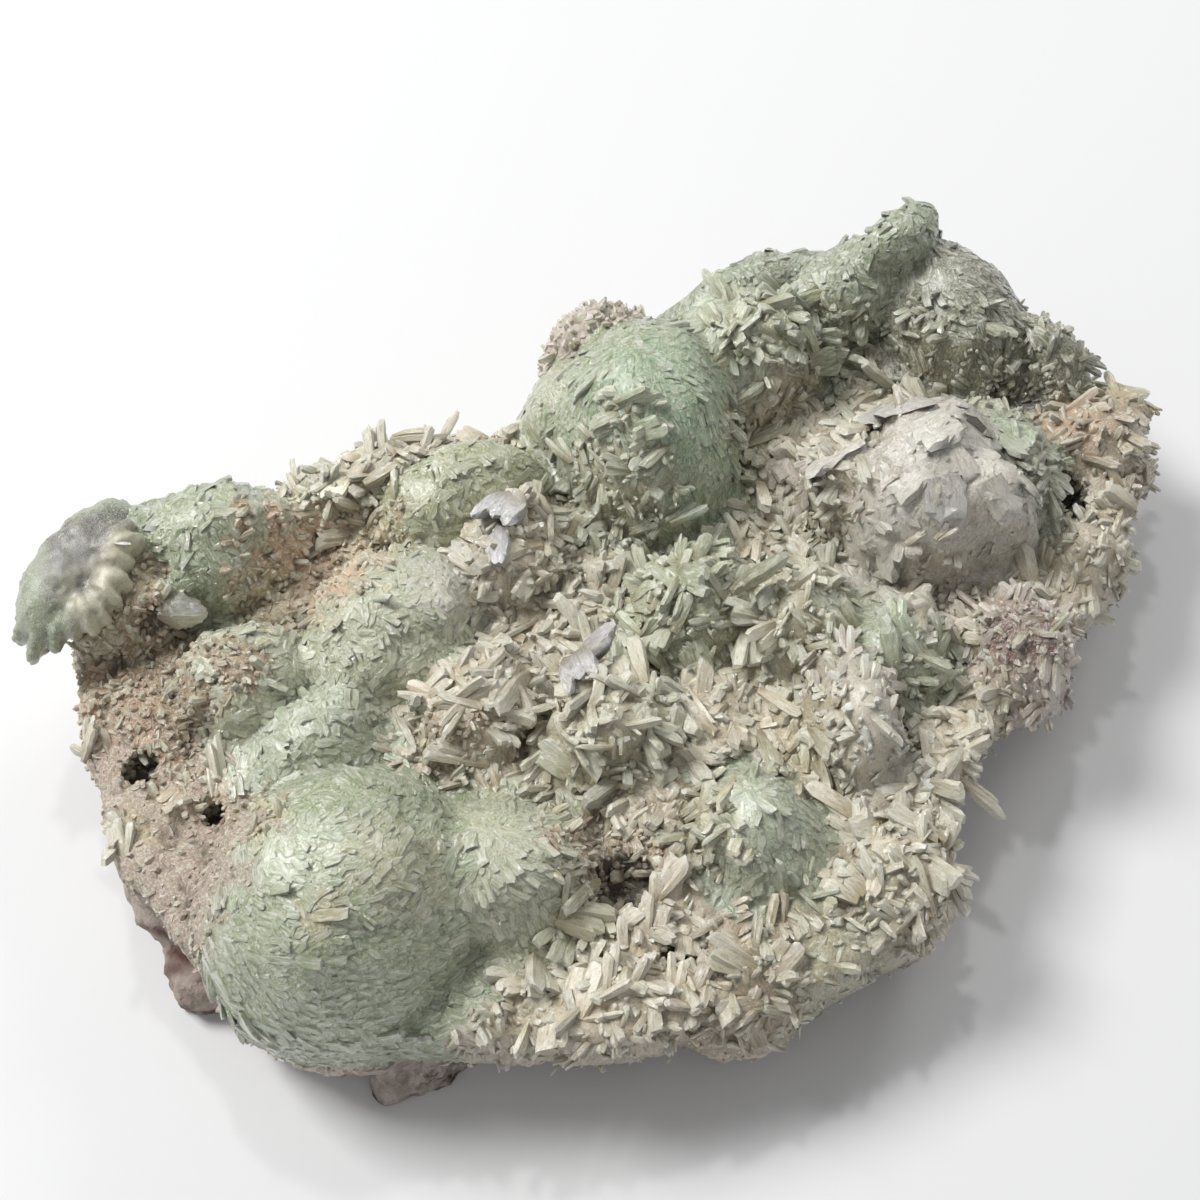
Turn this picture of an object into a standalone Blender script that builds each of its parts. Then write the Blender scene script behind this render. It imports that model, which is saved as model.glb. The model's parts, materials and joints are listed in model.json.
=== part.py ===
"""A cabinet specimen of prehnite: a lumpy green and cream crust grown over a slab of pale host rock.

Metres, +Z up. The origin is the middle of the footprint, on the surface that the specimen lies on,
and +X runs along its length. The places below are in millimetres on a drawing seen from above; the
last step brings the middle of the footprint to the origin.
"""

import math
import random

import bmesh
import bpy
from mathutils import Matrix, Vector

MM = 0.001

# The slab, as two stacked outlines: the rim that overhangs, and the smaller foot it rests on.
RIM_LOW, RIM_HIGH = 13.0, 31.0
FOOT_LOW, FOOT_HIGH = -8.0, 22.0
RIM_OUTLINE = [
    (-96, 42), (-80, 53), (-57, 52), (-32, 47), (-6, 44), (8, 47), (22, 57), (50, 56), (78, 51),
    (97, 46), (108, 33), (112, 12), (124, -10), (112, -26), (95, -39), (72, -51), (49, -62),
    (27, -78), (8, -88), (-14, -87), (-38, -80), (-58, -70), (-78, -59), (-92, -43), (-101, -25),
    (-104, -6), (-101, 16),
]
FOOT_OUTLINE = [
    (-90, 30), (-68, 41), (-28, 37), (4, 37), (30, 45), (70, 41), (92, 26), (100, -2), (88, -27),
    (66, -44), (38, -64), (10, -80), (-30, -77), (-60, -62), (-84, -43), (-99, -26), (-104, -10),
    (-99, 10),
]

# Lumps that the crust and the rock grew into: centre x, y, z, half sizes x, y, z, turn about Z.
LUMPS = {
    "big_dome": (-70, -36, 22, 28, 26, 35, 0),
    "big_dome_flank": (-43, -44, 18, 22, 17, 28, -20),
    "mint_dome": (26, 29, 28, 20, 25, 31, -20),
    "mint_shoulder": (52, 36, 28, 21, 15, 22, 0),
    "back_left_of_mint": (15, 43, 26, 12, 11, 18, 20),
    "pink_back_lump": (27, 54, 27, 13, 8, 19, 0),
    "back_right_ridge": (60, 50, 28, 22, 8, 19, 0),
    "horn_root": (78, 42, 38, 18, 9, 12, 5),
    "horn": (93, 42, 49, 13, 5.5, 6.5, 12),
    "right_slope": (99, 27, 27, 15, 22, 21, 0),
    "right_back_slope": (112, 8, 25, 9, 14, 15, 0),
    "quartz_knob": (68, -10, 30, 21, 20, 29, 30),
    "quartz_right_wing": (85, -12, 26, 15, 19, 19, 0),
    "right_end": (109, -13, 23, 14, 12, 14, -30),
    "right_tip": (120, -8, 26, 7, 6, 7, -20),
    "right_front_bulge": (92, -33, 20, 14, 12, 15, 25),
    "red_seam_wall": (68, -47, 24, 12, 12, 17, 30),
    "green_nest": (46, -38, 22, 13, 12, 18, 0),
    "white_fan": (31, -46, 25, 10, 16, 21, -15),
    "low_mint_dome": (3, -58, 22, 13, 15, 21, 0),
    "front_lump_right": (22, -76, 19, 15, 12, 17, 30),
    "front_lump_middle": (-9, -80, 18, 17, 11, 16, 0),
    "front_lump_left": (-34, -71, 17, 16, 10, 16, -20),
    "middle_lump_back": (-12, 16, 26, 14, 11, 17, 30),
    "middle_lump_left": (-32, -12, 25, 16, 12, 16, 20),
    "middle_lump_front": (-12, -28, 24, 16, 11, 19, 0),
    "middle_lump_right": (14, -12, 24, 15, 13, 19, 0),
    "middle_ridge": (31, -22, 24, 13, 13, 17, 0),
    "ear_root": (-80, 39, 37, 15, 12, 11, 25),
    "ear": (-90.5, 42.5, 44, 17, 9, 6.5, 35),
    "left_back_dome": (-67, 43, 27, 22, 14, 23, 0),
    "back_ridge": (-30, 44, 24, 29, 9, 16, -6),
    "sage_ridge": (-16, 33, 26, 20, 12, 19, -5),
    "sage_band": (-40, 12, 26, 21, 17, 18, 15),
    "ring_dome": (-70, 14, 26, 14, 12, 17, 0),
    "pale_dome": (-62, -4, 25, 16, 10, 15, 10),
    "rusty_slope": (-90, 17, 17, 13, 20, 17, 0),
    "rock_slope": (-92, -9, 14, 14, 18, 16, 0),
    "rock_foot": (-93, -24, 4, 13, 12, 12, 0),
    "front_rock_foot": (-56, -55, 2, 24, 9, 10, 18),
}

# Hollows between the lumps, in the same form.
HOLLOWS = {
    "under_ear": (-83, 27, 40, 8, 3.5, 9, 30),
    "rusty_valley": (-46, 29, 46, 14, 6, 8, 10),
    "brown_valley": (-33, 32, 45, 7, 5, 7, 0),
    "rock_hole_left": (-95, -3, 28, 4, 6, 12, 10),
    "rock_hole_right": (-84, -12, 27, 4, 3.5, 6, 20),
    "centre_crevice": (2, -24, 42, 8, 3.5, 12, -35),
    "mint_foot_crevice": (39, 9, 42, 9, 3.5, 12, 55),
    "dark_nook": (-25, -54, 34, 8, 6, 13, -20),
    "nest_crevice": (39, -52, 36, 3.5, 8, 10, 20),
    "right_pocket": (100, 2, 37, 9, 6, 11, -30),
    "right_cleft": (96, -23, 31, 5, 7, 9, -20),
    "blade_gap_back": (13, 6, 44, 5, 4, 10, 0),
    "blade_gap_left": (-20, -44, 40, 6, 3.5, 10, -30),
    "front_gap": (-20, -72, 31, 5, 4, 9, 0),
}

VOXEL = 1.6
ROUGHENING = 5.0
ROUGHENING_SCALE = 9.0
BODY_TRIANGLES = 3000

# The crust's lower limit: where the host rock begins, and its higher outcrops, as x, y, rise, reach.
ROCK_TOP = 9.0
ROCK_OUTCROPS = [(-104, -16, 19, 17), (-70, -62, 3, 26), (110, -20, 7, 28), (-2, -88, 5, 30)]
ROCK_TOP_WAVINESS = 1.2
ROCK_GAP = 0.3
SHEET_STEPS = 14

# Crystals that stand out of the crust: how far apart, and how many at most.
SEED = 7
CRYSTAL_SPACING = 9.0
CRYSTAL_LIMIT = 175
CRYSTAL_CANDIDATES = 3000
# Where free blades take the place of tiles: centre x, y and radius.
BLADE_GROUND = [(-8, -14, 34), (24, -16, 28), (-5, -70, 36), (34, -52, 24), (100, -20, 24)]
BLADE = {"length": (8.5, 12.5), "width": (3.8, 5.6), "thickness": (2.2, 3.2), "lean": 58}
TILE = {"length": (4.6, 6.2), "width": (5.5, 8.5), "thickness": (2.6, 4.2), "lean": 25}
CRYSTAL_SIDES = 4
CRYSTAL_TAPER = 0.7
CORNER_REACH = math.sqrt(0.5)
SUNK = Matrix.Translation((0, 0, 0.5 - 0.42))

PREHNITE_GREEN = (0.52, 0.58, 0.46, 1)
HOST_PINK_WHITE = (0.60, 0.53, 0.49, 1)


def on_drawing(x, y, z):
    """A point of the drawing, in metres."""
    return Vector((x, y, z)) * MM


def new_object(name, mesh):
    obj = bpy.data.objects.new(name, mesh)
    bpy.context.scene.collection.objects.link(obj)
    return obj


def modified(obj, name):
    """Replaces obj by a plain mesh of what its modifiers make of it."""
    bpy.context.view_layer.update()
    graph = bpy.context.evaluated_depsgraph_get()
    mesh = bpy.data.meshes.new_from_object(obj.evaluated_get(graph))
    mesh.transform(obj.matrix_world)
    bpy.data.objects.remove(obj)
    return new_object(name, mesh)


def combine(obj, other, operation, self_overlapping=False):
    """Boolean of obj with the closed mesh other, which is used up."""
    boolean = obj.modifiers.new(operation.title(), "BOOLEAN")
    boolean.operation = operation
    boolean.object = other
    boolean.solver = "EXACT"
    boolean.use_self = self_overlapping
    name = obj.name
    made = modified(obj, name)
    bpy.data.objects.remove(other)
    return made


def outline_slab(name, outline, low, high):
    """A flat outline pulled up from low to high, as a closed mesh."""
    curve = bpy.data.curves.new(name, "CURVE")
    curve.dimensions = "2D"
    curve.fill_mode = "BOTH"
    curve.extrude = (high - low) / 2 * MM
    spline = curve.splines.new("POLY")
    spline.points.add(len(outline) - 1)
    for point, (x, y) in zip(spline.points, outline):
        point.co = (*on_drawing(x, y, 0)[:2], 0, 1)
    spline.use_cyclic_u = True
    obj = new_object(name, curve)
    obj.location.z = (low + high) / 2 * MM
    slab = modified(obj, name)
    weld(slab.data)
    return slab


def weld(mesh):
    """Joins a curve's caps to its sides."""
    bm = bmesh.new()
    bm.from_mesh(mesh)
    bmesh.ops.remove_doubles(bm, verts=bm.verts, dist=0.01 * MM)
    bmesh.ops.recalc_face_normals(bm, faces=bm.faces)
    bm.to_mesh(mesh)
    bm.free()


def ellipsoids(name, table, subdivisions):
    """One mesh of the closed ellipsoids that a table lists."""
    bm = bmesh.new()
    for x, y, z, half_x, half_y, half_z, turn in table.values():
        size = Matrix.Diagonal((half_x * MM, half_y * MM, half_z * MM, 1))
        place = Matrix.Translation(on_drawing(x, y, z)) @ Matrix.Rotation(math.radians(turn), 4, "Z")
        bmesh.ops.create_icosphere(bm, subdivisions=subdivisions, radius=1, matrix=place @ size)
    mesh = bpy.data.meshes.new(name)
    bm.to_mesh(mesh)
    bm.free()
    return new_object(name, mesh)


def joined(name, objects):
    """One object of several closed meshes, still overlapping."""
    bm = bmesh.new()
    for obj in objects:
        bm.from_mesh(obj.data)
        bpy.data.objects.remove(obj)
    mesh = bpy.data.meshes.new(name)
    bm.to_mesh(mesh)
    bm.free()
    return new_object(name, mesh)


def lumpy_body():
    """The slab and its lumps fused into one rough body, with the hollows taken out."""
    rim = outline_slab("rim", RIM_OUTLINE, RIM_LOW, RIM_HIGH)
    foot = outline_slab("foot", FOOT_OUTLINE, FOOT_LOW, FOOT_HIGH)
    body = joined("body", [rim, foot, ellipsoids("lumps", LUMPS, 3)])
    fuse = body.modifiers.new("Fuse", "REMESH")
    fuse.mode = "VOXEL"
    fuse.voxel_size = VOXEL * MM
    soften = body.modifiers.new("Soften", "SMOOTH")
    soften.iterations = 6
    clouds = bpy.data.textures.new("rock_clouds", "CLOUDS")
    clouds.noise_scale = ROUGHENING_SCALE * MM
    roughen = body.modifiers.new("Roughen", "DISPLACE")
    roughen.texture = clouds
    roughen.texture_coords = "GLOBAL"
    roughen.strength = ROUGHENING * MM
    body = modified(body, "body")
    thin = body.modifiers.new("Thin", "DECIMATE")
    thin.ratio = BODY_TRIANGLES / (2 * len(body.data.polygons))
    thin.use_collapse_triangulate = True
    body = modified(body, "body")
    hollows = ellipsoids("hollows", HOLLOWS, 2)
    return combine(body, hollows, "DIFFERENCE", self_overlapping=True)


def scattered_feet(body):
    """Well spaced points of the crust's surface, each with its outward normal."""
    rng = random.Random(SEED)
    mesh = body.data
    faces = [f for f in mesh.polygons if f.center.z > ROCK_TOP * 1.6 * MM and f.normal.z > -0.15]
    picks = rng.choices(faces, weights=[f.area for f in faces], k=CRYSTAL_CANDIDATES)
    feet = []
    for face in picks:
        corners = [mesh.vertices[i].co for i in face.vertices]
        shares = [rng.random() for _ in corners]
        point = sum((c * s for c, s in zip(corners, shares)), Vector()) / sum(shares)
        if all((point - other).length > CRYSTAL_SPACING * MM for other, _ in feet):
            feet.append((point, face.normal.copy()))
        if len(feet) == CRYSTAL_LIMIT:
            break
    return feet


def grows_blades(point):
    """True where the crust grows free blades, false where it grows tiles."""
    for x, y, reach in BLADE_GROUND:
        if (point.xy - on_drawing(x, y, 0).xy).length < reach * MM:
            return True
    return False


def bare_rock(point):
    """True on the rock that the crust leaves bare at the left end."""
    x, y, _, reach = ROCK_OUTCROPS[0]
    return (point.xy - on_drawing(x, y, 0).xy).length < reach * MM


def crystals(body):
    """One mesh of the six-sided tablets that stand in the crust, each a closed solid."""
    rng = random.Random(SEED + 1)
    bm = bmesh.new()
    for foot, normal in scattered_feet(body):
        if bare_rock(foot):
            continue
        kind = BLADE if grows_blades(foot) else TILE
        length, width, thickness = (rng.uniform(*kind[k]) * MM for k in ("length", "width", "thickness"))
        aside = Vector((rng.gauss(0, 1), rng.gauss(0, 1), rng.gauss(0, 1))).normalized()
        lean = math.tan(math.radians(rng.uniform(0, kind["lean"])))
        axis = (normal + aside * lean).normalized()
        if axis.dot(normal) < 0.5:
            axis = (axis + normal).normalized()
        turn = axis.to_track_quat("Z", "X").to_matrix().to_4x4()
        spin = Matrix.Rotation(rng.uniform(0, math.pi), 4, "Z")
        size = Matrix.Diagonal((width * CORNER_REACH, thickness * CORNER_REACH, length, 1))
        square = Matrix.Rotation(math.pi / CRYSTAL_SIDES, 4, "Z")
        stand = Matrix.Translation(foot) @ turn @ spin @ size @ square @ SUNK
        bmesh.ops.create_cone(
            bm, cap_ends=True, segments=CRYSTAL_SIDES, radius1=1, radius2=CRYSTAL_TAPER, depth=1,
            matrix=stand,
        )
    mesh = bpy.data.meshes.new("crystals")
    bm.to_mesh(mesh)
    bm.free()
    return new_object("crystals", mesh)


def block_above_surface():
    """A block whose lower face is the surface that the specimen lies on."""
    size = Vector((400, 300, 200)) * MM
    bpy.ops.mesh.primitive_cube_add(size=1, location=(0, 0, size.z / 2))
    block = bpy.context.object
    block.data.transform(Matrix.Diagonal((*size, 1)))
    return block


def rock_top_at(x, y):
    """Height of the host rock's top at a place of the drawing."""
    height = ROCK_TOP + ROCK_TOP_WAVINESS * (math.sin(x / 17) + math.sin(y / 13 + x / 29))
    for middle_x, middle_y, rise, reach in ROCK_OUTCROPS:
        away = math.hypot(x - middle_x, y - middle_y) / reach
        height += rise * math.exp(-away * away)
    return height


def rock_top_sheet():
    """The thin waved sheet of space that parts the crust from the host rock."""
    bpy.ops.mesh.primitive_grid_add(x_subdivisions=SHEET_STEPS, y_subdivisions=SHEET_STEPS, size=300 * MM)
    sheet = bpy.context.object
    for vertex in sheet.data.vertices:
        vertex.co.z = rock_top_at(vertex.co.x / MM, vertex.co.y / MM) * MM
    sheet.modifiers.new("Flat facets", "TRIANGULATE")
    gap = sheet.modifiers.new("Gap", "SOLIDIFY")
    gap.thickness = ROCK_GAP * MM
    gap.offset = 0
    return modified(sheet, "rock_top_sheet")


def loose_parts(obj):
    """The separate bodies of a mesh object, as new objects, the largest first."""
    bpy.ops.object.select_all(action="DESELECT")
    obj.select_set(True)
    bpy.context.view_layer.objects.active = obj
    bpy.ops.mesh.separate(type="LOOSE")
    parts = list(bpy.context.selected_objects)
    return sorted(parts, key=lambda part: -len(part.data.polygons))


def finish(obj, name, colour, roughness):
    """Names a solid, gives it its own material and flat facets."""
    obj.name = name
    obj.data.name = name
    material = bpy.data.materials.new(name)
    material.use_nodes = True
    surface = material.node_tree.nodes["Principled BSDF"]
    surface.inputs["Base Color"].default_value = colour
    surface.inputs["Roughness"].default_value = roughness
    surface.inputs["Metallic"].default_value = 0
    obj.data.materials.clear()
    obj.data.materials.append(material)


def centre_on_footprint(objects):
    """Brings the middle of the footprint to the origin."""
    points = [v.co for obj in objects for v in obj.data.vertices]
    middle_x = (min(p.x for p in points) + max(p.x for p in points)) / 2
    middle_y = (min(p.y for p in points) + max(p.y for p in points)) / 2
    for obj in objects:
        obj.data.transform(Matrix.Translation((-middle_x, -middle_y, 0)))


def main():
    for obj in list(bpy.data.objects):
        bpy.data.objects.remove(obj)
    body = lumpy_body()
    body = combine(body, crystals(body), "UNION", self_overlapping=True)
    body = combine(body, block_above_surface(), "INTERSECT")
    body = combine(body, rock_top_sheet(), "DIFFERENCE")
    parts = loose_parts(body)
    crust, rock = sorted(parts[:2], key=lambda part: -max(v.co.z for v in part.data.vertices))
    for crumb in parts[2:]:
        bpy.data.objects.remove(crumb)
    finish(crust, "prehnite_crust", PREHNITE_GREEN, 0.35)
    finish(rock, "host_rock", HOST_PINK_WHITE, 0.85)
    centre_on_footprint([crust, rock])
    specimen = bpy.data.collections.new("prehnite_specimen")
    bpy.context.scene.collection.children.link(specimen)
    for obj in (crust, rock):
        bpy.context.scene.collection.objects.unlink(obj)
        specimen.objects.link(obj)


main()
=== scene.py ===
import json
import math
import random

import bmesh
import bpy
import numpy as np
from mathutils import Matrix, Quaternion, Vector

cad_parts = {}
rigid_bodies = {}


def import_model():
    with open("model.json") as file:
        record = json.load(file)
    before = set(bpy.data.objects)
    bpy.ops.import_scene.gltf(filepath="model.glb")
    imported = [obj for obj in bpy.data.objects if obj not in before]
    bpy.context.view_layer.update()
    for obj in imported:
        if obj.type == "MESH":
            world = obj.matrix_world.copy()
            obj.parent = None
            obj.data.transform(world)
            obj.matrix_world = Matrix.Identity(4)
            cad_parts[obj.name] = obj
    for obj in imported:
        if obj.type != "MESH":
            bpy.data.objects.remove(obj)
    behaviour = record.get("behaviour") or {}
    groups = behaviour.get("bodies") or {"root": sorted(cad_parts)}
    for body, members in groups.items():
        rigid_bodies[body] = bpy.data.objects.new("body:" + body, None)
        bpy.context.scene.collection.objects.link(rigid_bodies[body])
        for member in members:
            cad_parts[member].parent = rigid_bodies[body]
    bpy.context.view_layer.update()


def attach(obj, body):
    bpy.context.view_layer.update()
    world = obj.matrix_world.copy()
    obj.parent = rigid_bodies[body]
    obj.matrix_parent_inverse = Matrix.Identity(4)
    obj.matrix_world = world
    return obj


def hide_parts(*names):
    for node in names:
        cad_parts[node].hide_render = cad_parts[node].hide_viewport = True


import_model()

# The ground that everything grows on: a slab of lumps that run into one another, as in the solids.
# Prehnite grows as domes over older rock, and each dome has its own habit: tiles, druse or blades.
# Places are millimetres on a drawing seen from above; its middle is the middle of the footprint.
MM = 0.001
DRAWING_MIDDLE = (9.97, -15.93)
RIM_LOW, RIM_HIGH = 13.0, 31.0
FOOT_LOW, FOOT_HIGH = -8.0, 22.0
RIM_OUTLINE = [
    (-96, 42), (-80, 53), (-57, 52), (-32, 47), (-6, 44), (8, 47), (22, 57), (50, 56), (78, 51),
    (97, 46), (108, 33), (112, 12), (124, -10), (112, -26), (95, -39), (72, -51), (49, -62),
    (27, -78), (8, -88), (-14, -87), (-38, -80), (-58, -70), (-78, -59), (-92, -43), (-101, -25),
    (-104, -6), (-101, 16),
]
FOOT_OUTLINE = [
    (-90, 30), (-68, 41), (-28, 37), (4, 37), (30, 45), (70, 41), (92, 26), (100, -2), (88, -27),
    (66, -44), (38, -64), (10, -80), (-30, -77), (-60, -62), (-84, -43), (-99, -26), (-104, -10),
    (-99, 10),
]
# Centre x, y, z, half sizes x, y, z, turn about Z, habit, tint, sweep of the tiles from downhill.
LUMPS = {
    "big_dome": (-70, -36, 22, 28, 26, 35, 0, "tiles", "sage", 65),
    "big_dome_flank": (-43, -44, 18, 22, 17, 28, -20, "tiles", "pale_sage", 15),
    "mint_dome": (26, 29, 28, 20, 25, 31, -20, "tiles", "sage", 0),
    "mint_shoulder": (52, 36, 28, 21, 15, 22, 0, "tiles", "pale_mint", 20),
    "back_left_of_mint": (15, 43, 26, 12, 11, 18, 20, "tiles", "pale_sage", 30),
    "pink_back_lump": (27, 54, 27, 13, 8, 19, 0, "grains", "pink_white", 0),
    "back_right_ridge": (60, 50, 28, 22, 8, 19, 0, "tiles", "grey_green", 40),
    "horn_root": (82, 41, 36, 18, 10, 12, 5, "druse", "grey_green", 20),
    "horn": (92.5, 40.5, 49.3, 11, 5.4, 6.4, 14, "druse", "horn_green", 70),
    # Olive on the right slopes: partly the crust's own colour, partly painted shade on the side away from the light.
    "right_slope": (99, 27, 27, 15, 22, 21, 0, "tiles", "olive", 30),
    "right_back_slope": (112, 8, 25, 9, 14, 15, 0, "fans", "olive", 30),
    "quartz_knob": (68, -10, 30, 20, 19, 27, 30, "slabs", "white_grey", 0),
    "knob_shoulder": (56, -3, 36, 11, 10, 15, 40, "slabs", "pink_white", 0),
    "knob_ridge": (74, -20, 38, 12, 8, 16, -50, "slabs", "white_grey", 0),
    "quartz_right_wing": (85, -12, 26, 15, 19, 19, 0, "slabs", "pale_mint", 20),
    "right_end": (109, -13, 23, 14, 12, 14, -30, "fans", "warm_grey", 30),
    "right_tip": (120, -8, 26, 7, 6, 7, -20, "fans", "tan", 0),
    "right_front_bulge": (92, -33, 20, 14, 12, 15, 25, "fans", "pink_cream", 0),
    "red_seam_wall": (68, -47, 24, 12, 12, 17, 30, "fans", "pink_white", 0),
    "green_nest": (46, -38, 22, 13, 12, 18, 0, "blades", "pale_mint", 0),
    "white_fan": (31, -46, 25, 10, 16, 21, -15, "fans", "white_grey", 0),
    "low_mint_dome": (3, -58, 22, 13, 15, 21, 0, "tiles", "pale_mint", 0),
    "front_lump_right": (22, -76, 19, 15, 12, 17, 30, "blades", "pink_cream", 0),
    "front_lump_middle": (-9, -80, 18, 17, 11, 16, 0, "blades", "warm_grey", 0),
    "front_lump_left": (-34, -71, 17, 16, 10, 16, -20, "blades", "pink_cream", 0),
    "middle_lump_back": (-12, 16, 26, 14, 11, 17, 30, "blades", "pink_cream", 0),
    "middle_lump_left": (-32, -12, 25, 16, 12, 16, 20, "blades", "pink_cream", 0),
    "middle_lump_front": (-12, -28, 24, 16, 11, 19, 0, "blades", "cream", 0),
    "middle_lump_right": (14, -12, 24, 15, 13, 19, 0, "blades", "pale_sage", 0),
    "middle_ridge": (31, -22, 24, 13, 13, 17, 0, "blades", "cream", 0),
    "ear_root": (-82, 40, 34, 14, 11, 9, 25, "grains", "tan", 0),
    "ear": (-91, 42.5, 41, 15, 7, 5, 35, "ribs", "brown_sage", 0),
    "left_back_dome": (-64, 43, 27, 18, 14, 22, 0, "druse", "sage", 20),
    "ear_shoulder": (-77, 48, 37, 9, 7.5, 9, 20, "druse", "grey_green", 0),
    "back_ridge": (-30, 44, 24, 29, 9, 16, -6, "blades", "pink_cream", 0),
    "sage_ridge": (-16, 33, 26, 20, 12, 19, -5, "druse", "yellow_sage", 0),
    "sage_band": (-40, 12, 26, 21, 17, 18, 15, "druse", "pale_sage", 0),
    "ring_dome": (-70, 14, 26, 14, 12, 17, 0, "druse", "pale_sage", 0),
    "pale_dome": (-62, -4, 25, 16, 10, 15, 10, "druse", "pale_mint", 0),
    "rusty_slope": (-90, 17, 17, 13, 20, 17, 0, "grains", "rust_dark", 0),
    "rock_slope": (-92, -9, 14, 14, 18, 16, 0, "bare", "rock_grey", 0),
    "rock_foot": (-93, -24, 4, 13, 12, 12, 0, "bare", "rock_grey", 0),
    "front_rock_foot": (-56, -55, 2, 24, 9, 10, 18, "bare", "pink_white", 0),
}
HOLLOWS = {
    "under_ear": (-82, 29, 41, 5, 3.0, 6, 30),
    "rusty_valley": (-46, 29, 46, 14, 6, 7, 10),
    "brown_valley": (-33, 32, 45, 7, 5, 7, 0),
    "rock_hole_left": (-94, 6, 30, 4, 3.5, 6, 10),
    "rock_hole_right": (-85, -9, 29, 3, 2.5, 4, 20),
    "centre_crevice": (2, -24, 43, 8, 3.5, 8, -35),
    "mint_foot_crevice": (39, 9, 43, 9, 3, 8, 55),
    "dark_nook": (-23.5, -56.5, 37, 7, 8, 12, -20),
    "nest_crevice": (39, -52, 37, 3.5, 8, 8, 20),
    "right_pocket": (100, 2, 38, 8, 5, 9, -30),
    "right_cleft": (96, -23, 31, 5, 7, 9, -20),
    "blade_gap_back": (13, 6, 44, 5, 4, 10, 0),
    "blade_gap_left": (-20, -44, 40, 6, 3.5, 10, -30),
    "front_gap": (-20, -72, 33, 5, 4, 6, 0),
}
GROUND_GRAIN = 0.98
ROUGHENING = 5.0
ROUGHENING_SCALE = 9.0
FINE_ROUGHENING = 1.3
FINE_ROUGHENING_SCALE = 2.2
ROCK_TOP = 9.0
ROCK_OUTCROPS = [(-104, -16, 19, 17), (-70, -62, 3, 26), (110, -20, 7, 28), (-2, -88, 5, 30)]
ROCK_TOP_WAVINESS = 1.2
ROCK_GAP = 0.3
SHEET_STEPS = 40


def on_drawing(x, y, z):
    return Vector((x, y, z)) * MM


def new_object(name, mesh):
    obj = bpy.data.objects.new(name, mesh)
    bpy.context.scene.collection.objects.link(obj)
    return obj


def modified(obj, name):
    bpy.context.view_layer.update()
    graph = bpy.context.evaluated_depsgraph_get()
    mesh = bpy.data.meshes.new_from_object(obj.evaluated_get(graph))
    mesh.transform(obj.matrix_world)
    bpy.data.objects.remove(obj)
    return new_object(name, mesh)


def outline_slab(outline, low, high):
    mesh = bpy.data.meshes.new("slab")
    bm = bmesh.new()
    corners = [bm.verts.new(on_drawing(x, y, low)) for x, y in outline]
    floor_face = bm.faces.new(corners)
    pulled = bmesh.ops.extrude_face_region(bm, geom=[floor_face])
    raised = [v for v in pulled["geom"] if isinstance(v, bmesh.types.BMVert)]
    bmesh.ops.translate(bm, verts=raised, vec=(0, 0, (high - low) * MM))
    bmesh.ops.recalc_face_normals(bm, faces=bm.faces)
    bm.to_mesh(mesh)
    bm.free()
    return mesh


def ellipsoids(table, subdivisions):
    """One ellipsoid for each row; the massive white ones are cut into broad faces."""
    bm = bmesh.new()
    for x, y, z, half_x, half_y, half_z, turn, *growth in table.values():
        size = Matrix.Diagonal((half_x * MM, half_y * MM, half_z * MM, 1))
        place = Matrix.Translation(on_drawing(x, y, z)) @ Matrix.Rotation(math.radians(turn), 4, "Z")
        faces = 2 if "slabs" in growth else subdivisions
        bmesh.ops.create_icosphere(bm, subdivisions=faces, radius=1.04 if faces == 2 else 1, matrix=place @ size)
    mesh = bpy.data.meshes.new("ellipsoids")
    bm.to_mesh(mesh)
    bm.free()
    return mesh


def together(meshes):
    bm = bmesh.new()
    for mesh in meshes:
        bm.from_mesh(mesh)
    mesh = bpy.data.meshes.new("together")
    bm.to_mesh(mesh)
    bm.free()
    return mesh


def roughen(obj, name, scale, strength):
    clouds = bpy.data.textures.new(name, "CLOUDS")
    clouds.noise_scale = scale * MM
    displace = obj.modifiers.new(name, "DISPLACE")
    displace.texture = clouds
    displace.texture_coords = "GLOBAL"
    displace.strength = strength * MM


def combine(obj, other, operation):
    boolean = obj.modifiers.new(operation.title(), "BOOLEAN")
    boolean.operation = operation
    boolean.object = other
    boolean.solver = "EXACT"
    made = modified(obj, obj.name)
    bpy.data.objects.remove(other)
    return made


def rock_top_at(x, y):
    height = ROCK_TOP + ROCK_TOP_WAVINESS * (math.sin(x / 17) + math.sin(y / 13 + x / 29))
    for middle_x, middle_y, rise, reach in ROCK_OUTCROPS:
        away = math.hypot(x - middle_x, y - middle_y) / reach
        height += rise * math.exp(-away * away)
    return height


def rock_top_sheet():
    bpy.ops.mesh.primitive_grid_add(x_subdivisions=SHEET_STEPS, y_subdivisions=SHEET_STEPS, size=300 * MM)
    sheet = bpy.context.object
    for vertex in sheet.data.vertices:
        vertex.co.z = rock_top_at(vertex.co.x / MM, vertex.co.y / MM) * MM
    sheet.modifiers.new("Facets", "TRIANGULATE")
    gap = sheet.modifiers.new("Gap", "SOLIDIFY")
    gap.thickness = ROCK_GAP * MM
    gap.offset = 0
    return modified(sheet, "rock_top_sheet")


def block_above_table():
    bpy.ops.mesh.primitive_cube_add(size=0.4, location=(0, 0, 0.2))
    block = bpy.context.object
    return modified(block, "block")


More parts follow.
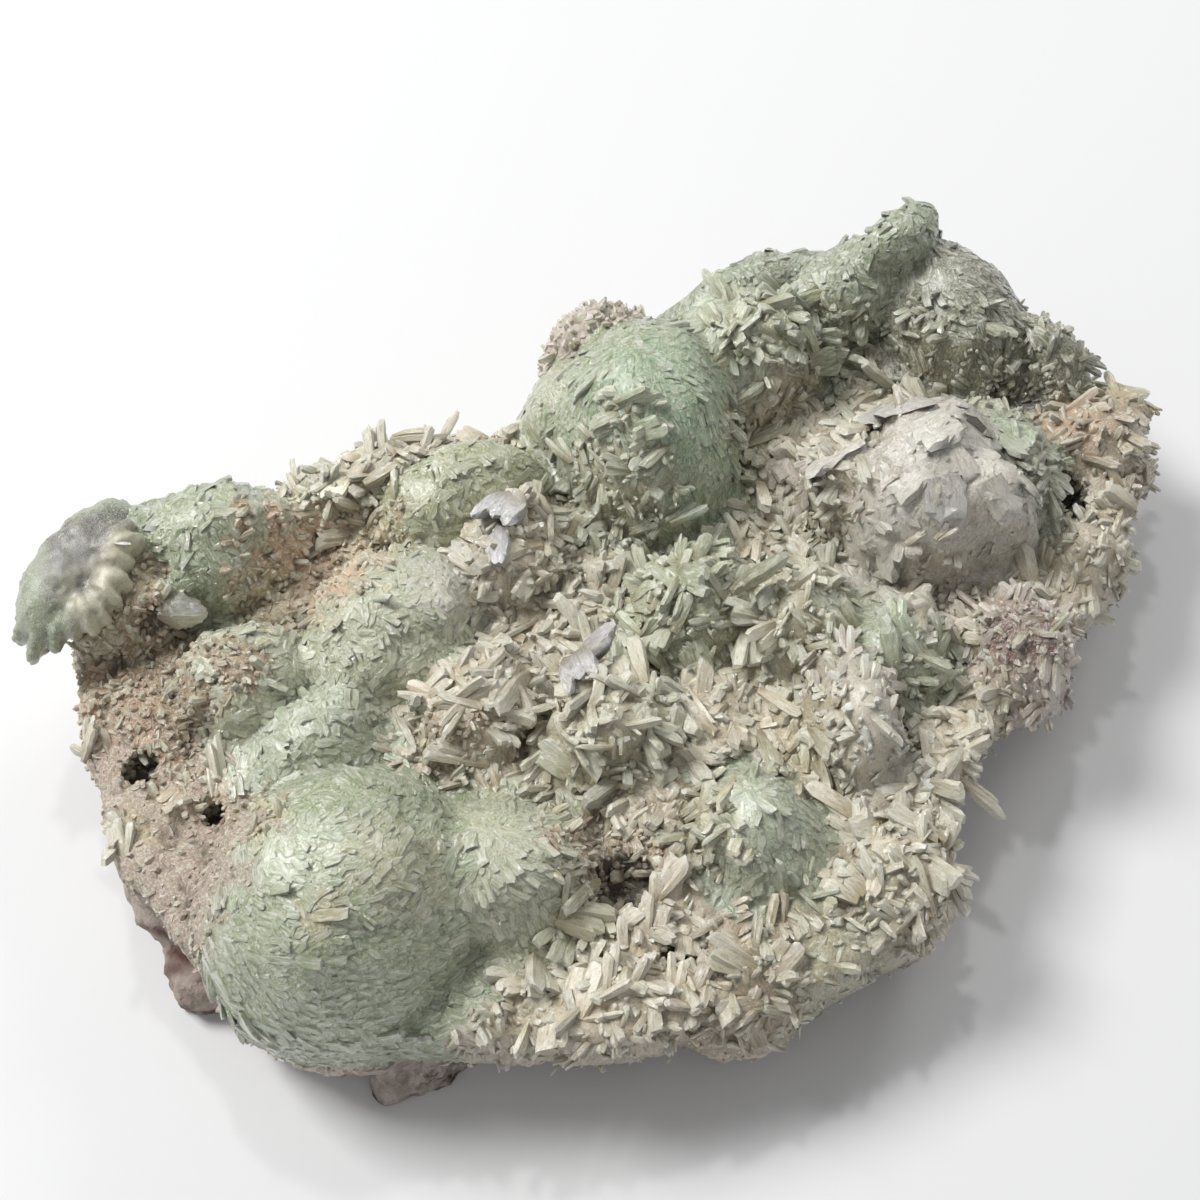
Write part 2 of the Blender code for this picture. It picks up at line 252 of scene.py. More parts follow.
def grown_body():
    meshes = [
        outline_slab(RIM_OUTLINE, RIM_LOW, RIM_HIGH),
        outline_slab(FOOT_OUTLINE, FOOT_LOW, FOOT_HIGH),
        ellipsoids(LUMPS, 4),
    ]
    body = new_object("body", together(meshes))
    fuse = body.modifiers.new("Fuse", "REMESH")
    fuse.mode = "VOXEL"
    fuse.voxel_size = GROUND_GRAIN * MM
    soften = body.modifiers.new("Soften", "SMOOTH")
    soften.iterations = 8
    roughen(body, "rock_clouds", ROUGHENING_SCALE, ROUGHENING)
    roughen(body, "fine_clouds", FINE_ROUGHENING_SCALE, FINE_ROUGHENING)
    body = modified(body, "body")
    body = combine(body, new_object("hollows", ellipsoids(HOLLOWS, 3)), "DIFFERENCE")
    body = combine(body, block_above_table(), "INTERSECT")
    return combine(body, rock_top_sheet(), "DIFFERENCE")


def loose_parts(obj):
    bpy.ops.object.select_all(action="DESELECT")
    obj.select_set(True)
    bpy.context.view_layer.objects.active = obj
    bpy.ops.mesh.separate(type="LOOSE")
    parts = sorted(bpy.context.selected_objects, key=lambda part: -len(part.data.polygons))
    for crumb in parts[2:]:
        bpy.data.objects.remove(crumb)
    return sorted(parts[:2], key=lambda part: -max(v.co.z for v in part.data.vertices))


crust_ground, host_rock = loose_parts(grown_body())
crust_ground.name = "crust_ground"
host_rock.name = "host_rock_dressed"


# The tints: prehnite runs from mint green to cream, white where it is massive, and iron stains it rust and brown in
# the valleys, where the deep hollows are also darkened as painted shade. Each place of the ground takes the tint of
# the dome that it is on.
def srgb(red, green, blue):
    """A colour picked on a screen, as the linear values that a material takes."""
    channels = (c / 255 for c in (red, green, blue))
    return tuple(c / 12.92 if c <= 0.04045 else ((c + 0.055) / 1.055) ** 2.4 for c in channels)


TINTS = {
    "mint": srgb(140, 173, 129),
    "pale_mint": srgb(176, 188, 157),
    "sage": srgb(156, 171, 129),
    "pale_sage": srgb(184, 190, 155),
    "yellow_sage": srgb(174, 178, 132),
    "grey_green": srgb(140, 152, 118),
    "horn_green": srgb(138, 154, 114),
    "brown_sage": srgb(64, 55, 40),
    "rib_cream": srgb(206, 200, 168),
    "cream": srgb(216, 215, 188),
    "pink_cream": srgb(222, 211, 188),
    "white": srgb(244, 242, 232),
    "white_grey": srgb(216, 209, 197),
    "pink_white": srgb(222, 206, 196),
    "rock_grey": srgb(186, 167, 153),
    "olive": srgb(128, 130, 102),
    "deep_olive": srgb(112, 112, 88),
    "warm_grey": srgb(196, 178, 152),
    "pink_pale": srgb(240, 226, 212),
    "tan": srgb(210, 192, 158),
    "yellow_tan": srgb(206, 190, 146),
    "rust": srgb(222, 182, 148),
    "rust_dark": srgb(190, 148, 112),
    "brown": srgb(170, 140, 108),
    # Dark brown darkens the deep hollows, partly their brown stain and partly painted shade, and is painted shade in
    # the rock's crevices.
    "dark_brown_shade": srgb(92, 74, 58),
    "red_stain": srgb(118, 76, 70),
    "rind": srgb(84, 64, 60),
    "lilac_white": srgb(200, 196, 198),
    # The root tint darkens each crystal towards its root: partly its own browner colour, partly painted shade where
    # it meets the ground.
    "root": srgb(192, 176, 146),
    "seam": srgb(150, 150, 134),
    # The gap tint is painted shade in crevices and hollows, and also darkens the fine speckle of the crystals.
    "gap": srgb(120, 110, 88),
}
# Stains and other habits that cross the domes: x, y, reach, how strong, habit or None, tint.
PATCHES = [
    (-48, 30, 13, 0.9, "grains", "rust"),
    (-36, 30, 8, 0.7, "grains", "tan"),
    (-60, 27, 7, 0.8, "grains", "tan"),
    (-70, 13, 5.5, 0.95, "grains", "brown"),
    (-94, 20, 7, 0.8, "grains", "brown"),
    (-83, 12, 7, 0.9, "grains", "brown"),
    (-88, 3, 6, 0.8, "grains", "brown"),
    (-82, 24, 8, 0.9, "grains", "brown"),
    (-103, 6, 12, 0.8, "bare", "rock_grey"),
    (-99, -22, 12, 0.8, "bare", "rock_grey"),
    (-96, -6, 6, 0.8, "bare", "tan"),
    (-84, -13, 8, 0.9, "grains", "brown"),
    (-79, -22, 6, 0.8, "grains", "yellow_tan"),
    (-91, -20, 14, 0.9, "bare", "rock_grey"),
    (-84, 28, 6, 0.9, "grains", "brown"),
    (27, 21, 15, 0.85, None, "mint"),
    (-40, 47, 6, 0.8, "blades", "cream"),
    (-76, -45, 4, 0.6, None, "yellow_tan"),
    (-60, -42, 8, 0.35, None, "tan"),
    (-20, -20, 13, 0.5, None, "pink_cream"),
    (-40, -18, 6, 0.8, "grains", "brown"),
    (-25, 13, 9, 0.6, None, "white_grey"),
    (8, 14, 12, 0.7, "blades", "cream"),
    (60, 14, 14, 0.85, "fans", "pink_cream"),
    (46, 16, 9, 0.5, "blades", "tan"),
    (46, -4, 8, 0.6, "blades", "cream"),
    (70, 28, 10, 0.7, "blades", "grey_green"),
    (54, 35, 8, 0.7, "blades", "pale_sage"),
    # The olive patches on the right: partly the crust's own colour, partly painted shade on the side away from the
    # light.
    (86, 18, 10, 0.8, "fans", "olive"),
    (98, 6, 10, 0.9, "fans", "olive"),
    (92, -20, 8, 0.6, "fans", "pale_mint"),
    (108, -8, 6, 0.6, None, "rust"),
    (67, -48, 7, 0.9, "grains", "red_stain"),
    (64, -33, 3.5, 0.9, "grains", "red_stain"),
    (56, -33, 8, 0.9, "blades", "pink_pale"),
    (44, -30, 9, 0.6, "tiles", "pale_mint"),
    (20, -47, 8, 0.7, "blades", "yellow_tan"),
    (32, -52, 9, 0.95, "fans", "white"),
    (-23, -50, 10, 0.9, "grains", "brown"),
    (-8, -52, 8, 0.5, "blades", "tan"),
    (-30, -64, 9, 0.5, "blades", "pink_cream"),
    (4, -84, 12, 0.6, "fans", "pale_sage"),
    # Deep olive at the right end: partly the crust's own colour, partly painted shade on the side away from the
    # light.
    (108, 23, 11, 0.7, None, "deep_olive"),
    (89, -22, 8, 0.8, None, "deep_olive"),
]
BETWEEN_DOMES = ("blades", "pink_cream")
BARE_BELOW = 13.0
HABITS = ("tiles", "druse", "grains", "blades", "fans", "slabs", "bare", "ribs")


def wave(points, size, seed):
    """A soft random value from -1 to 1 that varies over the given size, for an array of places."""
    rng = np.random.default_rng(seed)
    value = np.zeros(len(points))
    for _ in range(6):
        direction = rng.normal(size=3)
        direction *= 2 * math.pi / (size * np.linalg.norm(direction)) * rng.uniform(0.6, 1.6)
        value += np.sin(points @ direction + rng.uniform(0, 2 * math.pi))
    return np.clip(value / 2.6, -1, 1)


def dome_at(points):
    """Which lump each place is on, and how far out of it, where 1 is on its surface."""
    nearest = np.full(len(points), 9.0)
    dome = np.full(len(points), -1)
    for index, row in enumerate(LUMPS.values()):
        centre, half, turn = np.array(row[:3]), np.array(row[3:6]), math.radians(row[6])
        away = points - centre
        along = away[:, 0] * math.cos(turn) + away[:, 1] * math.sin(turn)
        across = away[:, 1] * math.cos(turn) - away[:, 0] * math.sin(turn)
        out = np.sqrt((along / half[0]) ** 2 + (across / half[1]) ** 2 + (away[:, 2] / half[2]) ** 2)
        out = out + 0.1 * wave(points, 7, index)
        closer = out < nearest
        nearest[closer] = out[closer]
        dome[closer] = index
    return dome, nearest


def growth_at(points):
    """Habit, tint and dome of each place of the ground, in drawing millimetres. Hollows hold brown grains; the deep
    ones are tinted dark brown, partly as painted shade.
    """
    dome, out = dome_at(points)
    rows = list(LUMPS.values())
    on_dome = out < 1.22
    habit = np.array([HABITS.index(rows[d][7]) if ok else HABITS.index(BETWEEN_DOMES[0])
                      for d, ok in zip(dome, on_dome)])
    tint = np.array([TINTS[rows[d][8] if ok else BETWEEN_DOMES[1]] for d, ok in zip(dome, on_dome)])
    low = points[:, 2] < BARE_BELOW + 3 * wave(points, 20, 60) + 5 * (points[:, 0] < -80)
    habit[low] = HABITS.index("bare")
    tint[low] = TINTS["pink_white"]
    for number, (x, y, reach, strength, other_habit, other_tint) in enumerate(PATCHES):
        away = np.hypot(points[:, 0] - x, points[:, 1] - y) / reach
        away = away + 0.35 * wave(points, 6, 100 + number)
        share = strength * np.clip((1.25 - away) / 0.5, 0, 1)
        tint = tint + (np.array(TINTS[other_tint]) - tint) * share[:, None]
        if other_habit:
            habit[(away < 1) & (points[:, 2] > 14)] = HABITS.index(other_habit)
    for x, y, z, half_x, half_y, half_z, turn in HOLLOWS.values():
        away = points - np.array((x, y, z))
        angle = math.radians(turn)
        along = (away[:, 0] * math.cos(angle) + away[:, 1] * math.sin(angle)) / half_x
        across = (away[:, 1] * math.cos(angle) - away[:, 0] * math.sin(angle)) / half_y
        inside = along ** 2 + across ** 2 + (away[:, 2] / half_z) ** 2 < 1.2
        habit[inside] = HABITS.index("grains")
        # Deep hollows are tinted dark brown and shallow ones brown: partly brown stain, partly painted shade.
        tint[inside] = (tint[inside] + np.array(TINTS["dark_brown_shade" if half_z > 8.5 else "brown"])) / 2
    return habit, tint, dome


def store_tint(mesh, name, values):
    layer = mesh.attributes.new(name, "FLOAT_COLOR", "POINT")
    layer.data.foreach_set("color", np.c_[values, np.ones(len(values))].astype(np.float32).ravel())


def vertex_places(mesh):
    """The mesh's points as an array, in drawing millimetres."""
    flat = np.empty(len(mesh.vertices) * 3, np.float32)
    mesh.vertices.foreach_get("co", flat)
    return flat.reshape(-1, 3).astype(float) / MM


def relaxed(mesh, places, rounds):
    """The places after some rounds of averaging each with its neighbours along the mesh's edges."""
    edges = np.empty(len(mesh.edges) * 2, np.int32)
    mesh.edges.foreach_get("vertices", edges)
    first, second = edges.reshape(-1, 2).T
    number = len(places)
    count = np.maximum(np.bincount(edges, minlength=number), 1)
    smooth = places.copy()
    for _ in range(rounds):
        total = [np.bincount(first, smooth[second, k], number) + np.bincount(second, smooth[first, k], number)
                 for k in range(3)]
        smooth = 0.3 * smooth + 0.7 * np.array(total).T / count[:, None]
    return smooth


def vertex_normals(mesh):
    flat = np.empty(len(mesh.vertices) * 3, np.float32)
    mesh.vertices.foreach_get("normal", flat)
    return flat.reshape(-1, 3).astype(float)


def store_depth(mesh, name, rounds, scale_mm):
    """Stores how far each point lies below the smoothed surface around it: 1 in a crevice, -1 on an edge."""
    places = vertex_places(mesh)
    depth = ((relaxed(mesh, places, rounds) - places) * vertex_normals(mesh)).sum(1)
    layer = mesh.attributes.new(name, "FLOAT", "POINT")
    layer.data.foreach_set("value", np.clip(depth / scale_mm, -1, 1).astype(np.float32))


def soft_normals(mesh):
    """Each point's normal, evened out with its neighbours'."""
    return unit(relaxed(mesh, vertex_normals(mesh), 10))


def unit(vectors):
    return vectors / np.maximum(np.linalg.norm(vectors, axis=1), 1e-9)[:, None]


def polish(mesh):
    """Makes the domes smoother than the ground between them."""
    places = vertex_places(mesh)
    habit, _, _ = growth_at(places)
    smoothness = np.array([SMOOTHNESS[name] for name in HABITS])[habit]
    relaxed_share = relaxed(mesh, smoothness[:, None] * np.ones((1, 3)), 12)
    places += (relaxed(mesh, places, 26) - places) * relaxed_share
    mesh.vertices.foreach_set("co", (places * MM).astype(np.float32).ravel())
    mesh.update()


SMOOTHNESS = {
    "tiles": 0.62, "druse": 0.5, "slabs": 0.1, "fans": 0.25, "blades": 0.2, "grains": 0.05, "bare": 0.1, "ribs": 0.9,
}
polish(crust_ground.data)
store_tint(host_rock.data, "tint", growth_at(vertex_places(host_rock.data))[1])
# The rock's depth below its smoothed surface marks its crevices, which its material darkens as painted shade.
store_depth(host_rock.data, "sunk", 12, 1.2)


def new_material(name):
    material = bpy.data.materials.new(name)
    material.use_nodes = True
    tree = material.node_tree
    return material, tree, tree.nodes["Principled BSDF"]


def attribute(tree, name):
    node = tree.nodes.new("ShaderNodeAttribute")
    node.attribute_name = name
    return node


def speckle(tree, size_mm, detail=3.0, roughness=0.6):
    """Noise on object coordinates whose grain is about the given size."""
    place = tree.nodes.new("ShaderNodeTexCoord")
    noise = tree.nodes.new("ShaderNodeTexNoise")
    noise.inputs["Scale"].default_value = 1 / (size_mm * MM)
    noise.inputs["Detail"].default_value = detail
    noise.inputs["Roughness"].default_value = roughness
    tree.links.new(place.outputs["Object"], noise.inputs["Vector"])
    return noise.outputs["Fac"]


def spread(tree, value, low, high, to_low=0.0, to_high=1.0):
    node = tree.nodes.new("ShaderNodeMapRange")
    for name, number in zip(("From Min", "From Max", "To Min", "To Max"), (low, high, to_low, to_high)):
        node.inputs[name].default_value = number
    tree.links.new(value, node.inputs["Value"])
    return node.outputs["Result"]


def blend(tree, share, first, second, how="MIX"):
    """Colour mix; first and second are sockets or colours."""
    node = tree.nodes.new("ShaderNodeMix")
    node.data_type = "RGBA"
    node.blend_type = how
    for socket, value in ((node.inputs["Factor"], share), (node.inputs["A"], first), (node.inputs["B"], second)):
        give(tree, socket, value)
    return node.outputs["Result"]


def give(tree, socket, value):
    if isinstance(value, bpy.types.NodeSocket):
        tree.links.new(value, socket)
    elif isinstance(value, tuple):
        socket.default_value = (*value[:3], 1)
    else:
        socket.default_value = value


def calculate(tree, how, first, second):
    node = tree.nodes.new("ShaderNodeMath")
    node.operation = how
    for socket, value in zip(node.inputs, (first, second)):
        give(tree, socket, value)
    return node.outputs[0]


def bumps(tree, surface, height, distance_mm, strength=1.0):
    bump = tree.nodes.new("ShaderNodeBump")
    bump.inputs["Strength"].default_value = strength
    bump.inputs["Distance"].default_value = distance_mm * MM
    tree.links.new(height, bump.inputs["Height"])
    tree.links.new(bump.outputs["Normal"], surface.inputs["Normal"])


# The host rock: pinkish-white, fine-grained and dull, with a dark weathered rind low down and a few
# red iron stains. It is bare at the left end and along the foot, and the specimen rests on it.
STAINS = [(-98, -24, 8), (-90, -36, 6), (108, -22, 7), (66, -50, 8)]
RIND_HEIGHT = 9.0
FLAT_UNDERSIDE_BELOW = 0.05


def dress_rock(mesh):
    places = vertex_places(mesh)
    stained = np.zeros(len(places))
    for number, (x, y, reach) in enumerate(STAINS):
        away = np.hypot(places[:, 0] - x, places[:, 1] - y) / reach + 0.4 * wave(places, 5, 300 + number)
        stained = np.maximum(stained, np.clip(1.2 - away, 0, 1))
    rind = np.clip((RIND_HEIGHT - places[:, 2]) / 5 + 0.9 * wave(places, 19, 320) - 0.1, 0, 1)
    for name, values in (("stained", stained), ("rind", rind)):
        mesh.attributes.new(name, "FLOAT", "POINT").data.foreach_set("value", values.astype(np.float32))


def rock_material():
    material, tree, surface = new_material("pale_host_rock")
    tint = attribute(tree, "tint").outputs["Color"]
    grain = speckle(tree, 2.2, 8, 0.7)
    mottled = blend(tree, spread(tree, grain, 0.4, 0.65), TINTS["white_grey"], TINTS["pink_white"])
    own = blend(tree, 0.5, mottled, tint)
    rusty = blend(tree, spread(tree, speckle(tree, 5.0, 4), 0.55, 0.7, 0, 0.4), own, TINTS["tan"])
    stained = blend(tree, attribute(tree, "stained").outputs["Fac"], rusty, TINTS["red_stain"])
    crumbled = spread(tree, speckle(tree, 3.2, 6, 0.7), 0.4, 0.6)
    rind = calculate(tree, "MULTIPLY", attribute(tree, "rind").outputs["Fac"], crumbled)
    weathered = blend(tree, rind, stained, TINTS["rind"])
    # Painted shade: the crevices that the sunk depth marks are darkened towards dark brown.
    sunk = spread(tree, attribute(tree, "sunk").outputs["Fac"], 0.05, 0.9, 0, 0.6)
    give(tree, surface.inputs["Base Color"], blend(tree, sunk, weathered, TINTS["dark_brown_shade"]))
    give(tree, surface.inputs["Roughness"], spread(tree, grain, 0.3, 0.7, 0.7, 0.95))
    surface.inputs["Specular IOR Level"].default_value = 0.3
    bumps(tree, surface, speckle(tree, 1.1, 8, 0.75), 1.0)
    return material


dress_rock(host_rock.data)
host_rock.data.materials.clear()
host_rock.data.materials.append(rock_material())


# The crystals: tablets and blades a few millimetres long, grown side by side in bundles. They lie over
# the domes like scales and stand free in nests between them. Nodes copy a mould onto each foot.
def draw_crystal(bm, rings, rng, wobble):
    """Adds a crystal drawn through rings of (height, width, thickness), with sharp edges at its sides."""
    loops = []
    slant_x, slant_y = rng.uniform(-0.5, 0.5), rng.uniform(-0.5, 0.5)
    for number, (height, width, thickness) in enumerate(rings):
        x, y = width / 2, thickness / 2
        shoulder = rng.uniform(0.55, 0.85) * x
        drift_x = rng.uniform(-wobble, wobble)
        slant = number / (len(rings) - 1) if number > 1 else 0
        outline = [(x, 0), (shoulder, y), (-shoulder, y), (-x, 0), (-shoulder, -y), (shoulder, -y)]
        loops.append([
            bm.verts.new((px + drift_x + rng.uniform(-0.6, 0.6) * wobble,
                          py + rng.uniform(-0.5, 0.5) * wobble,
                          height + slant * (slant_x * px + slant_y * py) + rng.uniform(-1, 1) * wobble))
            for px, py in outline])
    for low, high in zip(loops, loops[1:]):
        for i in range(6):
            bm.faces.new((low[i], low[(i + 1) % 6], high[(i + 1) % 6], high[i]))
    bm.faces.new(loops[0][::-1])
    bm.faces.new(loops[-1])


def drawn(name, shapes, seed, wobble):
    """A mesh of one or more crystals in millimetres; each shape is (rings, place)."""
    rng = random.Random(seed)
    bm = bmesh.new()
    for rings, place in shapes:
        before = len(bm.verts)
        draw_crystal(bm, rings, rng, wobble)
        bm.verts.ensure_lookup_table()
        bmesh.ops.transform(bm, matrix=place, verts=bm.verts[before:])
    bmesh.ops.recalc_face_normals(bm, faces=bm.faces)
    mesh = bpy.data.meshes.new(name)
    bm.to_mesh(mesh)
    bm.free()
    return mesh


def fused(mesh, grain, triangles, ragged):
    """The crystals of a mould grown into one lump with a ragged skin of about so many triangles."""
    name = mesh.name
    obj = new_object(name, mesh)
    fuse = obj.modifiers.new("Fuse", "REMESH")
    fuse.mode = "VOXEL"
    fuse.voxel_size = grain
    clouds = bpy.data.textures.new(name, "CLOUDS")
    clouds.noise_scale = 0.9
    displace = obj.modifiers.new("Ragged", "DISPLACE")
    displace.texture = clouds
    displace.strength = ragged
    obj = modified(obj, name)
    thin = obj.modifiers.new("Thin", "DECIMATE")
    thin.ratio = triangles / (2 * len(obj.data.polygons))
    obj = modified(obj, name)
    lump = obj.data
    lump.name = name
    bpy.data.objects.remove(obj)
    return lump


def finished_mould(mesh, from_root=0.0, crisp=32):
    """Stores how near each point is to the crystal's tip, which is 1, and sets the edges crisp."""
    low, high = (f(v.co.z for v in mesh.vertices) for f in (min, max))
    tip = mesh.attributes.new("tip", "FLOAT", "POINT")
    shares = [(v.co.z - low) / (high - low) for v in mesh.vertices]
    tip.data.foreach_set("value", [from_root + (1 - from_root) * share for share in shares])
    mesh.transform(Matrix.Scale(MM, 4))
    mesh.polygons.foreach_set("use_smooth", [True] * len(mesh.polygons))
    mesh.set_sharp_from_angle(angle=math.radians(crisp))
    return mesh


# Each crystal's rings: height, width and thickness in millimetres.
BLADE_RINGS = [(-2.0, 1.9, 1.0), (1.5, 2.6, 1.4), (6.2, 2.7, 1.5), (7.6, 2.1, 0.9)]
YOUNG_RINGS = [(-1.2, 1.3, 1.0), (1.4, 1.9, 1.3), (2.9, 1.8, 1.1), (3.6, 1.2, 0.7)]
SLAB_RINGS = [(-3.0, 2.4, 1.2), (1.0, 3.4, 1.6), (4.5, 3.6, 1.6), (6.3, 2.8, 1.0)]
SPINDLE_RINGS = [(-2.5, 1.4, 1.1), (1.0, 2.6, 1.9), (4.0, 3.0, 2.2), (6.6, 2.4, 1.7), (8.2, 1.1, 0.7)]
WEDGE_RINGS = [(-4.0, 6.0, 4.0), (2.0, 11.0, 6.0), (8.0, 11.5, 5.5), (13.0, 8.0, 3.4), (16.0, 3.0, 1.2)]
BARREL_RINGS = [(-4.8, 2.6, 2.4), (-3.0, 5.0, 4.6), (0.0, 6.2, 5.6), (3.0, 5.4, 4.8), (5.0, 3.0, 2.6)]
GRAIN_RINGS = [(-0.7, 1.1, 0.9), (0.8, 1.3, 1.0), (1.3, 0.7, 0.5)]


def scaled_rings(rings, length, width, thickness):
    return [(h * length, w * width, t * thickness) for h, w, t in rings]


def bundle(rings, seed, count, fan, step, stack, size):
    """Crystals from one foot: beside each other, stacked on each other, a little fanned, of uneven length."""
    rng = random.Random(seed)
    shapes = []
    for n in range(count):
        aside = n - (count - 1) / 2
        lean = Matrix.Rotation(math.radians(fan * aside + rng.gauss(0, 3)), 4, "Y")
        tilt = Matrix.Rotation(math.radians(rng.gauss(0, 5)), 4, "X")
        twist = Matrix.Rotation(math.radians(rng.gauss(0, 8)), 4, "Z")
        place = Matrix.Translation((step * aside, stack * rng.uniform(-1, 1), rng.uniform(-0.9, 0.3)))
        own = (size[0] * rng.uniform(0.7, 1.12), size[1] * rng.uniform(0.8, 1.2), size[2] * rng.uniform(0.8, 1.2))
        shapes.append((scaled_rings(rings, *own), place @ lean @ tilt @ twist))
    return shapes


def moulds_of(name, rings, wobble, kinds, triangles=0, grain=0.36, ragged=0.5, from_root=0.0):
    """One mould for each (count, fan, step, stack, size); with a number of triangles it is fused."""
    moulds = []
    for n, kind in enumerate(kinds):
        mesh = drawn(f"{name}_{n}", bundle(rings, 10 + n, *kind), n, wobble)
        moulds.append(finished_mould(fused(mesh, grain, triangles, ragged) if triangles else mesh, from_root))
    return moulds


def tile_moulds():
    """Flat tablets with a rectangular or lozenge outline and sloping sides."""
    moulds = []
    for n, (length, width, nose) in enumerate([
            (2.4, 1.3, 0.2), (1.7, 1.1, 0.15), (3.0, 1.2, 0.5), (2.0, 1.5, 0.3), (3.4, 1.6, 0.9), (1.4, 1.0, 0.1)]):
        rng = random.Random(n)
        outline = [(-width / 2, -length / 2), (width / 2, -length / 2), (width * 0.55, 0.1), (width / 2, length / 2 - nose),
                   (width * 0.1, length / 2 + nose * 0.4), (-width / 2, length / 2 - nose)]
        outline = [(x + rng.uniform(-0.12, 0.12), z + rng.uniform(-0.12, 0.12)) for x, z in outline]
        bm = bmesh.new()
        upper = [bm.verts.new((x * 0.8, 0.4, z * 0.85)) for x, z in outline]
        lower = [bm.verts.new((x * 1.6, -0.35, z * 1.4)) for x, z in outline]
        bm.faces.new(upper)
        bm.faces.new(lower[::-1])
        for i in range(6):
            bm.faces.new((lower[i], lower[(i + 1) % 6], upper[(i + 1) % 6], upper[i]))
        bmesh.ops.recalc_face_normals(bm, faces=bm.faces)
        mesh = bpy.data.meshes.new(f"tile_{n}")
        bm.to_mesh(mesh)
        bm.free()
        moulds.append(finished_mould(mesh, 0.55))
    return moulds


def lens_moulds():
    return moulds_of("lens", BLADE_RINGS, 0.2, [
        (1, 0, 0, 0, (0.62, 0.75, 0.8)), (1, 0, 0, 0, (0.5, 0.9, 0.8)), (2, 6, 1.4, 0.1, (0.6, 0.6, 0.8)),
        (1, 0, 0, 0, (0.75, 0.7, 0.8))], from_root=0.3)


def blade_moulds():
    return moulds_of("blade", BLADE_RINGS, 0.22, [
        (3, 4, 1.0, 1.0, (1, 0.95, 1.1)), (2, 3, 0.9, 0.9, (0.9, 1.4, 1.2)), (3, 5, 1.2, 1.1, (0.8, 1.0, 1)),
        (3, 6, 1.4, 0.6, (0.75, 0.9, 1.3)), (2, 3, 1.2, 0.7, (1.1, 0.9, 1.3)), (3, 3, 1.0, 1.4, (0.75, 1.2, 1.0))])


def leaf_moulds():
    return moulds_of("leaf", BLADE_RINGS, 0.22, [
        (3, 5, 0.9, 0.6, (0.85, 0.7, 0.8)), (3, 6, 1.0, 0.8, (0.95, 0.75, 0.8)), (2, 4, 0.9, 0.9, (0.75, 0.9, 0.9)),
        (3, 5, 0.8, 0.7, (0.8, 0.65, 0.8)), (3, 6, 1.1, 0.7, (0.8, 0.75, 0.8))])


def slab_moulds():
    return moulds_of("slab", SLAB_RINGS, 0.3, [
        (3, 7, 2.3, 0.3, (1, 1, 1)), (4, 6, 1.9, 0.4, (1.1, 0.9, 0.9)), (2, 8, 2.8, 0.3, (0.9, 1.3, 1)),
        (3, 10, 2.0, 0.4, (0.8, 0.9, 1.1)), (2, 4, 2.2, 0.3, (1.2, 1.1, 0.9))], 150, 0.45, 0.9, 0.4)


def young_moulds():
    return moulds_of("young", YOUNG_RINGS, 0.16, [
        (1, 0, 0, 0, (1, 1, 1)), (1, 0, 0, 0, (0.8, 1.3, 1)), (1, 0, 0, 0, (1.2, 0.8, 1)), (1, 0, 0, 0, (0.7, 1.0, 1.2))])


def grain_moulds():
    return moulds_of("grain", GRAIN_RINGS, 0.15, [
        (1, 0, 0, 0, (1, 1, 1)), (1, 0, 0, 0, (1.3, 0.8, 0.8)), (1, 0, 0, 0, (0.8, 1.4, 0.9)), (1, 0, 0, 0, (1.5, 0.7, 0.9))],
        from_root=0.35)


def large_moulds():
    one = [(1, 0, 0, 0, (1, 1, 1))]
    return (moulds_of("large_0_wedge", WEDGE_RINGS, 0.4, one, 260, 0.5, 0.7)
            + moulds_of("large_1_twin", WEDGE_RINGS, 0.5, [(3, 12, 3.0, 1.5, (0.9, 0.6, 1.0))], 400, 0.5, 0.7)
            + moulds_of("large_2_barrel", BARREL_RINGS, 0.2, [(3, 3, 0.7, 0.6, (1, 0.85, 0.85))], 420, 0.4, 0.7)
            + moulds_of("large_3_spindle", SPINDLE_RINGS, 0.25, one, 120, 0.35, 0.4))


# How far apart the feet of each habit's crystals are, in millimetres, and how glassy they are.
SPACING = {"tiles": 1.4, "druse": 1.4, "blades": 2.8, "fans": 2.8, "slabs": 3.0, "grains": 1.3, "bare": 1.6}
GLASSINESS = {
    "tiles": 1.0, "druse": 0.95, "blades": 0.7, "fans": 0.7, "slabs": 0.88, "grains": 0.45, "bare": 0.0, "ribs": 0.85,
}
GROWN_ABOVE = 9.0
CANDIDATES = 190000


def ground_samples(mesh, count, seed):
    """Random places on the ground's triangles and the normals there, in drawing millimetres."""
    rng = np.random.default_rng(seed)
    mesh.calc_loop_triangles()
    corners = np.empty(len(mesh.loop_triangles) * 3, np.int32)
    mesh.loop_triangles.foreach_get("vertices", corners)
    corners = corners.reshape(-1, 3)
    places = vertex_places(mesh)
    normals = soft_normals(mesh)
    a, b, c = (places[corners[:, n]] for n in range(3))
    areas = np.linalg.norm(np.cross(b - a, c - a), axis=1) / 2
    picked = rng.choice(len(corners), size=count, p=areas / areas.sum())
    shares = rng.dirichlet((1, 1, 1), size=count)
    sunk = np.empty(len(places), np.float32)
    mesh.attributes["sunk_wide"].data.foreach_get("value", sunk)
    spots = (places[corners[picked]] * shares[:, :, None]).sum(1)
    facing = (normals[corners[picked]] * shares[:, :, None]).sum(1)
    depth = (sunk[corners[picked]] * shares).sum(1)
    return spots, facing / np.linalg.norm(facing, axis=1)[:, None], depth


